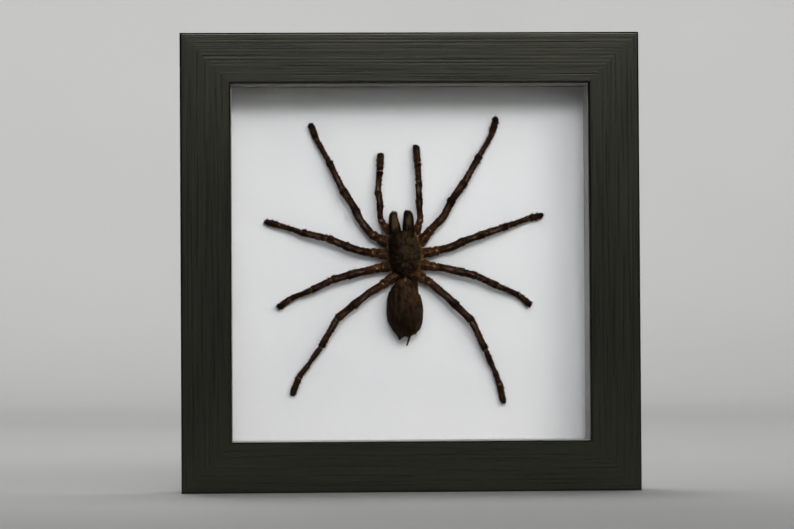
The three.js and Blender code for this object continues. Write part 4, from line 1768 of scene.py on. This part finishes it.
def jaw_marks(rows: np.ndarray) -> dict[str, np.ndarray]:
    """Gives the tones of a chelicera at places in millimetres."""
    x, y, z = rows.T
    middle = (x.min() + x.max()) / 2
    side = np.abs(x - middle)
    streak = hump(x - middle, 1.2) * hump(y - 147.0, 4.2) * (z > 6.5)
    bald, warm = (1.5, 0.7) if middle < -4 else (0.6, 0.15)
    return {
        "bald": bald * streak,
        "dark": np.clip(hump(y - 153.2, 1.6) + np.clip((side - 1.3) / 0.7, 0, 0.9), 0, 1),
        "warm": warm * streak, "fur": 0.9 + 0.9 * (y > 151.0),
        "shag": 1.0 + 0.5 * hump(y - 153.5, 1.5), "bristle": 1.0 * (y > 151.5),
    }


def plain_marks(rows: np.ndarray) -> dict[str, np.ndarray]:
    """Gives an even, furry, slightly warm skin."""
    ones = np.ones(len(rows))
    return {"warm": 0.4 * ones, "fur": 0.7 * ones}


def waist_marks(rows: np.ndarray) -> dict[str, np.ndarray]:
    """Gives a bare waist with a painted highlight on its back, held as a pale spot."""
    x, y, z = rows.T
    # The pale spot is a painted highlight.
    spot = hump(np.hypot(x + 2.2, (y - 116.4) / 1.7), 0.42) * (z > 5.5)
    return {"pale": 0.75 * spot, "dark": 0.6 * np.ones(len(x)), "fur": 0.1 * np.ones(len(x))}


BODY_COATS = (
    Coat(density=4.6, length=mm(0.5, 1.05), width=0.00008, lift=(8.0, 30.0)),
    Coat(density=0.35, length=mm(1.2, 2.0), width=0.00007, lift=(16.0, 45.0), fur="bristle"),
)

JAW = {
    "slot": "dried_shell", "blunt": 9.0, "square": 2.8, "detail": 2, "folds": (1.4, 0.15),
    "marks": jaw_marks, "backwards": False, "coats": BODY_COATS,
}
FANG = {"in_cad": False, "slot": "dried_shell", "around": 16, "along": 14, "blunt": 6.0}
SPINNERET = {"marks": plain_marks, "around": 16, "coats": BODY_COATS}

PODS = (
    Pod(
        "sternum", (
            (116.9, -2.0, 5.2, 3.6, 2.0), (121.0, -2.2, 4.8, 6.4, 2.7),
            (128.0, -2.2, 4.7, 8.4, 3.0), (134.5, -2.3, 4.8, 8.2, 3.0),
            (141.9, -3.0, 5.2, 6.4, 2.7),
        ), in_cad=False, marks=plain_marks, square=2.6, coats=BODY_COATS, dents=(2.5, 0.2),
    ),
    Pod(
        "abdomen", (
            (84.1, -2.5, 5.8, 2.6, 1.9), (85.2, -2.4, 6.0, 4.3, 2.8), (86.9, -2.1, 6.2, 6.0, 3.8),
            (89.8, -2.0, 6.6, 8.2, 4.9), (93.1, -2.2, 7.0, 9.6, 5.5),
            (97.5, -2.45, 7.3, 10.1, 5.9), (102.4, -2.5, 7.4, 9.8, 6.0),
            (105.1, -2.75, 7.3, 9.3, 5.9), (107.8, -3.1, 7.1, 8.5, 5.6),
            (110.5, -2.65, 6.9, 7.5, 5.2), (113.2, -1.8, 6.6, 6.8, 4.6),
            (117.2, -0.8, 6.1, 5.9, 3.0),
        ), blunt=9.0, around=40, along=34, detail=2, folds=(2.8, 0.62),
        dents=(5.0, 0.6), marks=abdomen_marks, coats=BODY_COATS, seed=81,
        creases=(
            (-1.2, 107.8, -2.1, 101.3), (-8.4, 109.4, -9.6, 101.8), (-5.9, 110.5, -7.0, 98.5),
            (-3.7, 113.7, -4.2, 106.2), (0.7, 113.7, 1.2, 105.0), (3.4, 105.0, 5.0, 95.3),
            (0.1, 102.3, 1.7, 91.5), (-7.5, 96.3, -5.3, 87.7), (3.9, 93.1, 1.2, 86.0),
        ),
    ),
    Pod(
        "chelicera_left", (
            (140.4, -7.1, 6.4, 3.2, 3.1), (145.3, -7.9, 6.9, 3.1, 3.6),
            (148.3, -8.3, 6.6, 2.6, 3.4),
            (150.8, -8.5, 6.1, 2.2, 3.0), (152.3, -8.2, 5.8, 1.8, 2.6),
            (153.2, -7.8, 5.6, 1.2, 2.0),
        ), seed=91, **JAW,
    ),
    Pod(
        "chelicera_right", (
            (140.4, -0.1, 6.4, 3.2, 3.1), (145.3, -0.2, 6.9, 3.1, 3.6),
            (147.5, -0.2, 6.7, 2.9, 3.5),
            (150.3, -0.2, 6.2, 2.6, 3.1), (152.3, -0.4, 5.8, 2.2, 2.6),
            (153.4, -0.9, 5.6, 1.5, 2.1),
            (153.9, -1.4, 5.4, 0.9, 1.6),
        ), seed=92, **JAW,
    ),
    Pod(
        "pedicel", (
            (114.6, -1.7, 5.5, 1.5, 1.2), (116.2, -1.8, 5.9, 1.2, 1.1),
            (118.9, -2.0, 5.6, 1.7, 1.3),
        ), marks=waist_marks, around=20, along=14, dents=(0.8, 0.1),
    ),
    Pod(
        "spinneret_long", (
            (79.2, -1.5, 3.8, 0.28, 0.28), (80.4, -1.1, 4.2, 0.5, 0.5),
            (81.2, -0.8, 4.5, 0.46, 0.46),
            (82.2, -0.5, 4.8, 0.62, 0.62), (83.0, -0.3, 5.1, 0.56, 0.56),
            (85.0, 0.2, 5.8, 0.8, 0.8),
        ), along=20, seed=95, **SPINNERET,
    ),
    Pod(
        "spinneret_short", (
            (82.6, -5.9, 4.9, 0.35, 0.35), (83.4, -5.4, 5.2, 0.62, 0.62),
            (85.6, -4.4, 5.8, 0.9, 0.9),
        ), along=14, seed=96, **SPINNERET,
    ),
    Pod(
        "fang_left", (
            (147.5, -7.6, 2.3, 0.12, 0.12), (149.5, -7.9, 2.5, 0.45, 0.42),
            (151.6, -8.3, 3.2, 0.75, 0.7), (153.0, -8.3, 4.4, 0.9, 0.8),
        ), **FANG,
    ),
    Pod(
        "fang_right", (
            (147.8, 0.0, 2.3, 0.12, 0.12), (149.9, -0.1, 2.5, 0.45, 0.42),
            (152.1, -0.3, 3.2, 0.75, 0.7), (153.4, -0.4, 4.4, 0.9, 0.8),
        ), **FANG,
    ),
)


def main() -> None:
    """Builds every class in order."""
    logging.basicConfig(level=logging.INFO, format="%(message)s")
    studio = Studio()
    studio.camera()
    studio.light()
    studio.floor()
    GroovedFrame().build(GroovedBlackWood().material())
    Case().build()
    skin = DriedSkin("dried_skin", (0.0030, 0.0005, 0.0003), (0.0320, 0.0112, 0.0043)).material()
    shell = DriedSkin(
        "dried_shell", (0.0027, 0.0018, 0.0010), (0.0235, 0.0142, 0.0070),
        tan=(0.044, 0.028, 0.0125), bare=(0.046, 0.031, 0.0150), russet=(0.15, 0.075, 0.019),
        spots=0.35, cloud=0.0036, streak=0.0014, stretch=0.4,
    ).material()
    belly = DriedSkin(
        "belly_skin", (0.0032, 0.0022, 0.0013), (0.0255, 0.0135, 0.0066),
        tan=(0.034, 0.020, 0.0090), bare=(0.042, 0.026, 0.012), russet=(0.066, 0.026, 0.0065),
        cloud=0.0040, streak=0.0017, stretch=0.45,
    ).material()
    hair = Setae(
        "setae", (0.0038, 0.0008, 0.0004), (0.0330, 0.0118, 0.0042), (0.100, 0.041, 0.0130),
    ).material()
    pelt = Setae(
        "pelt_setae", (0.0032, 0.0019, 0.0010), (0.0290, 0.0155, 0.0072), (0.080, 0.040, 0.0160),
    ).material()
    golden = Setae(
        "golden_setae", (0.085, 0.042, 0.012), (0.21, 0.115, 0.034), (0.30, 0.18, 0.060),
    ).material()
    bead = GlossyBead("glossy_bead", (0.010, 0.007, 0.006), (0.035, 0.02, 0.014)).material()
    Carapace().build(shell, pelt, golden, bead)
    for pod in PODS:
        finish = belly if pod.name == "abdomen" else shell if pod.slot == "dried_shell" else skin
        pod.build(bead if "fang" in pod.name else finish, pelt)
    for number, (name, spread) in enumerate(SPREAD.items()):
        heights = HEIGHTS[name.rsplit("_", 1)[0]]
        joints = tuple((x, y, z) for (x, y), z in zip(spread, heights))
        plan = Plan.PALP if "palp" in name else Plan.LEG
        # Limbs on the right are warmer: partly their own colour, partly painted light from the
        # right.
        warmth = 0.85 if name.endswith("right") else 0.55
        buried = 5.0 * MM if "leg_4" in name else 2.8 * MM
        Limb(name, joints, number + 1, plan, warmth=warmth, buried=buried).build(skin, hair)


if __name__ == "__main__":
    main()
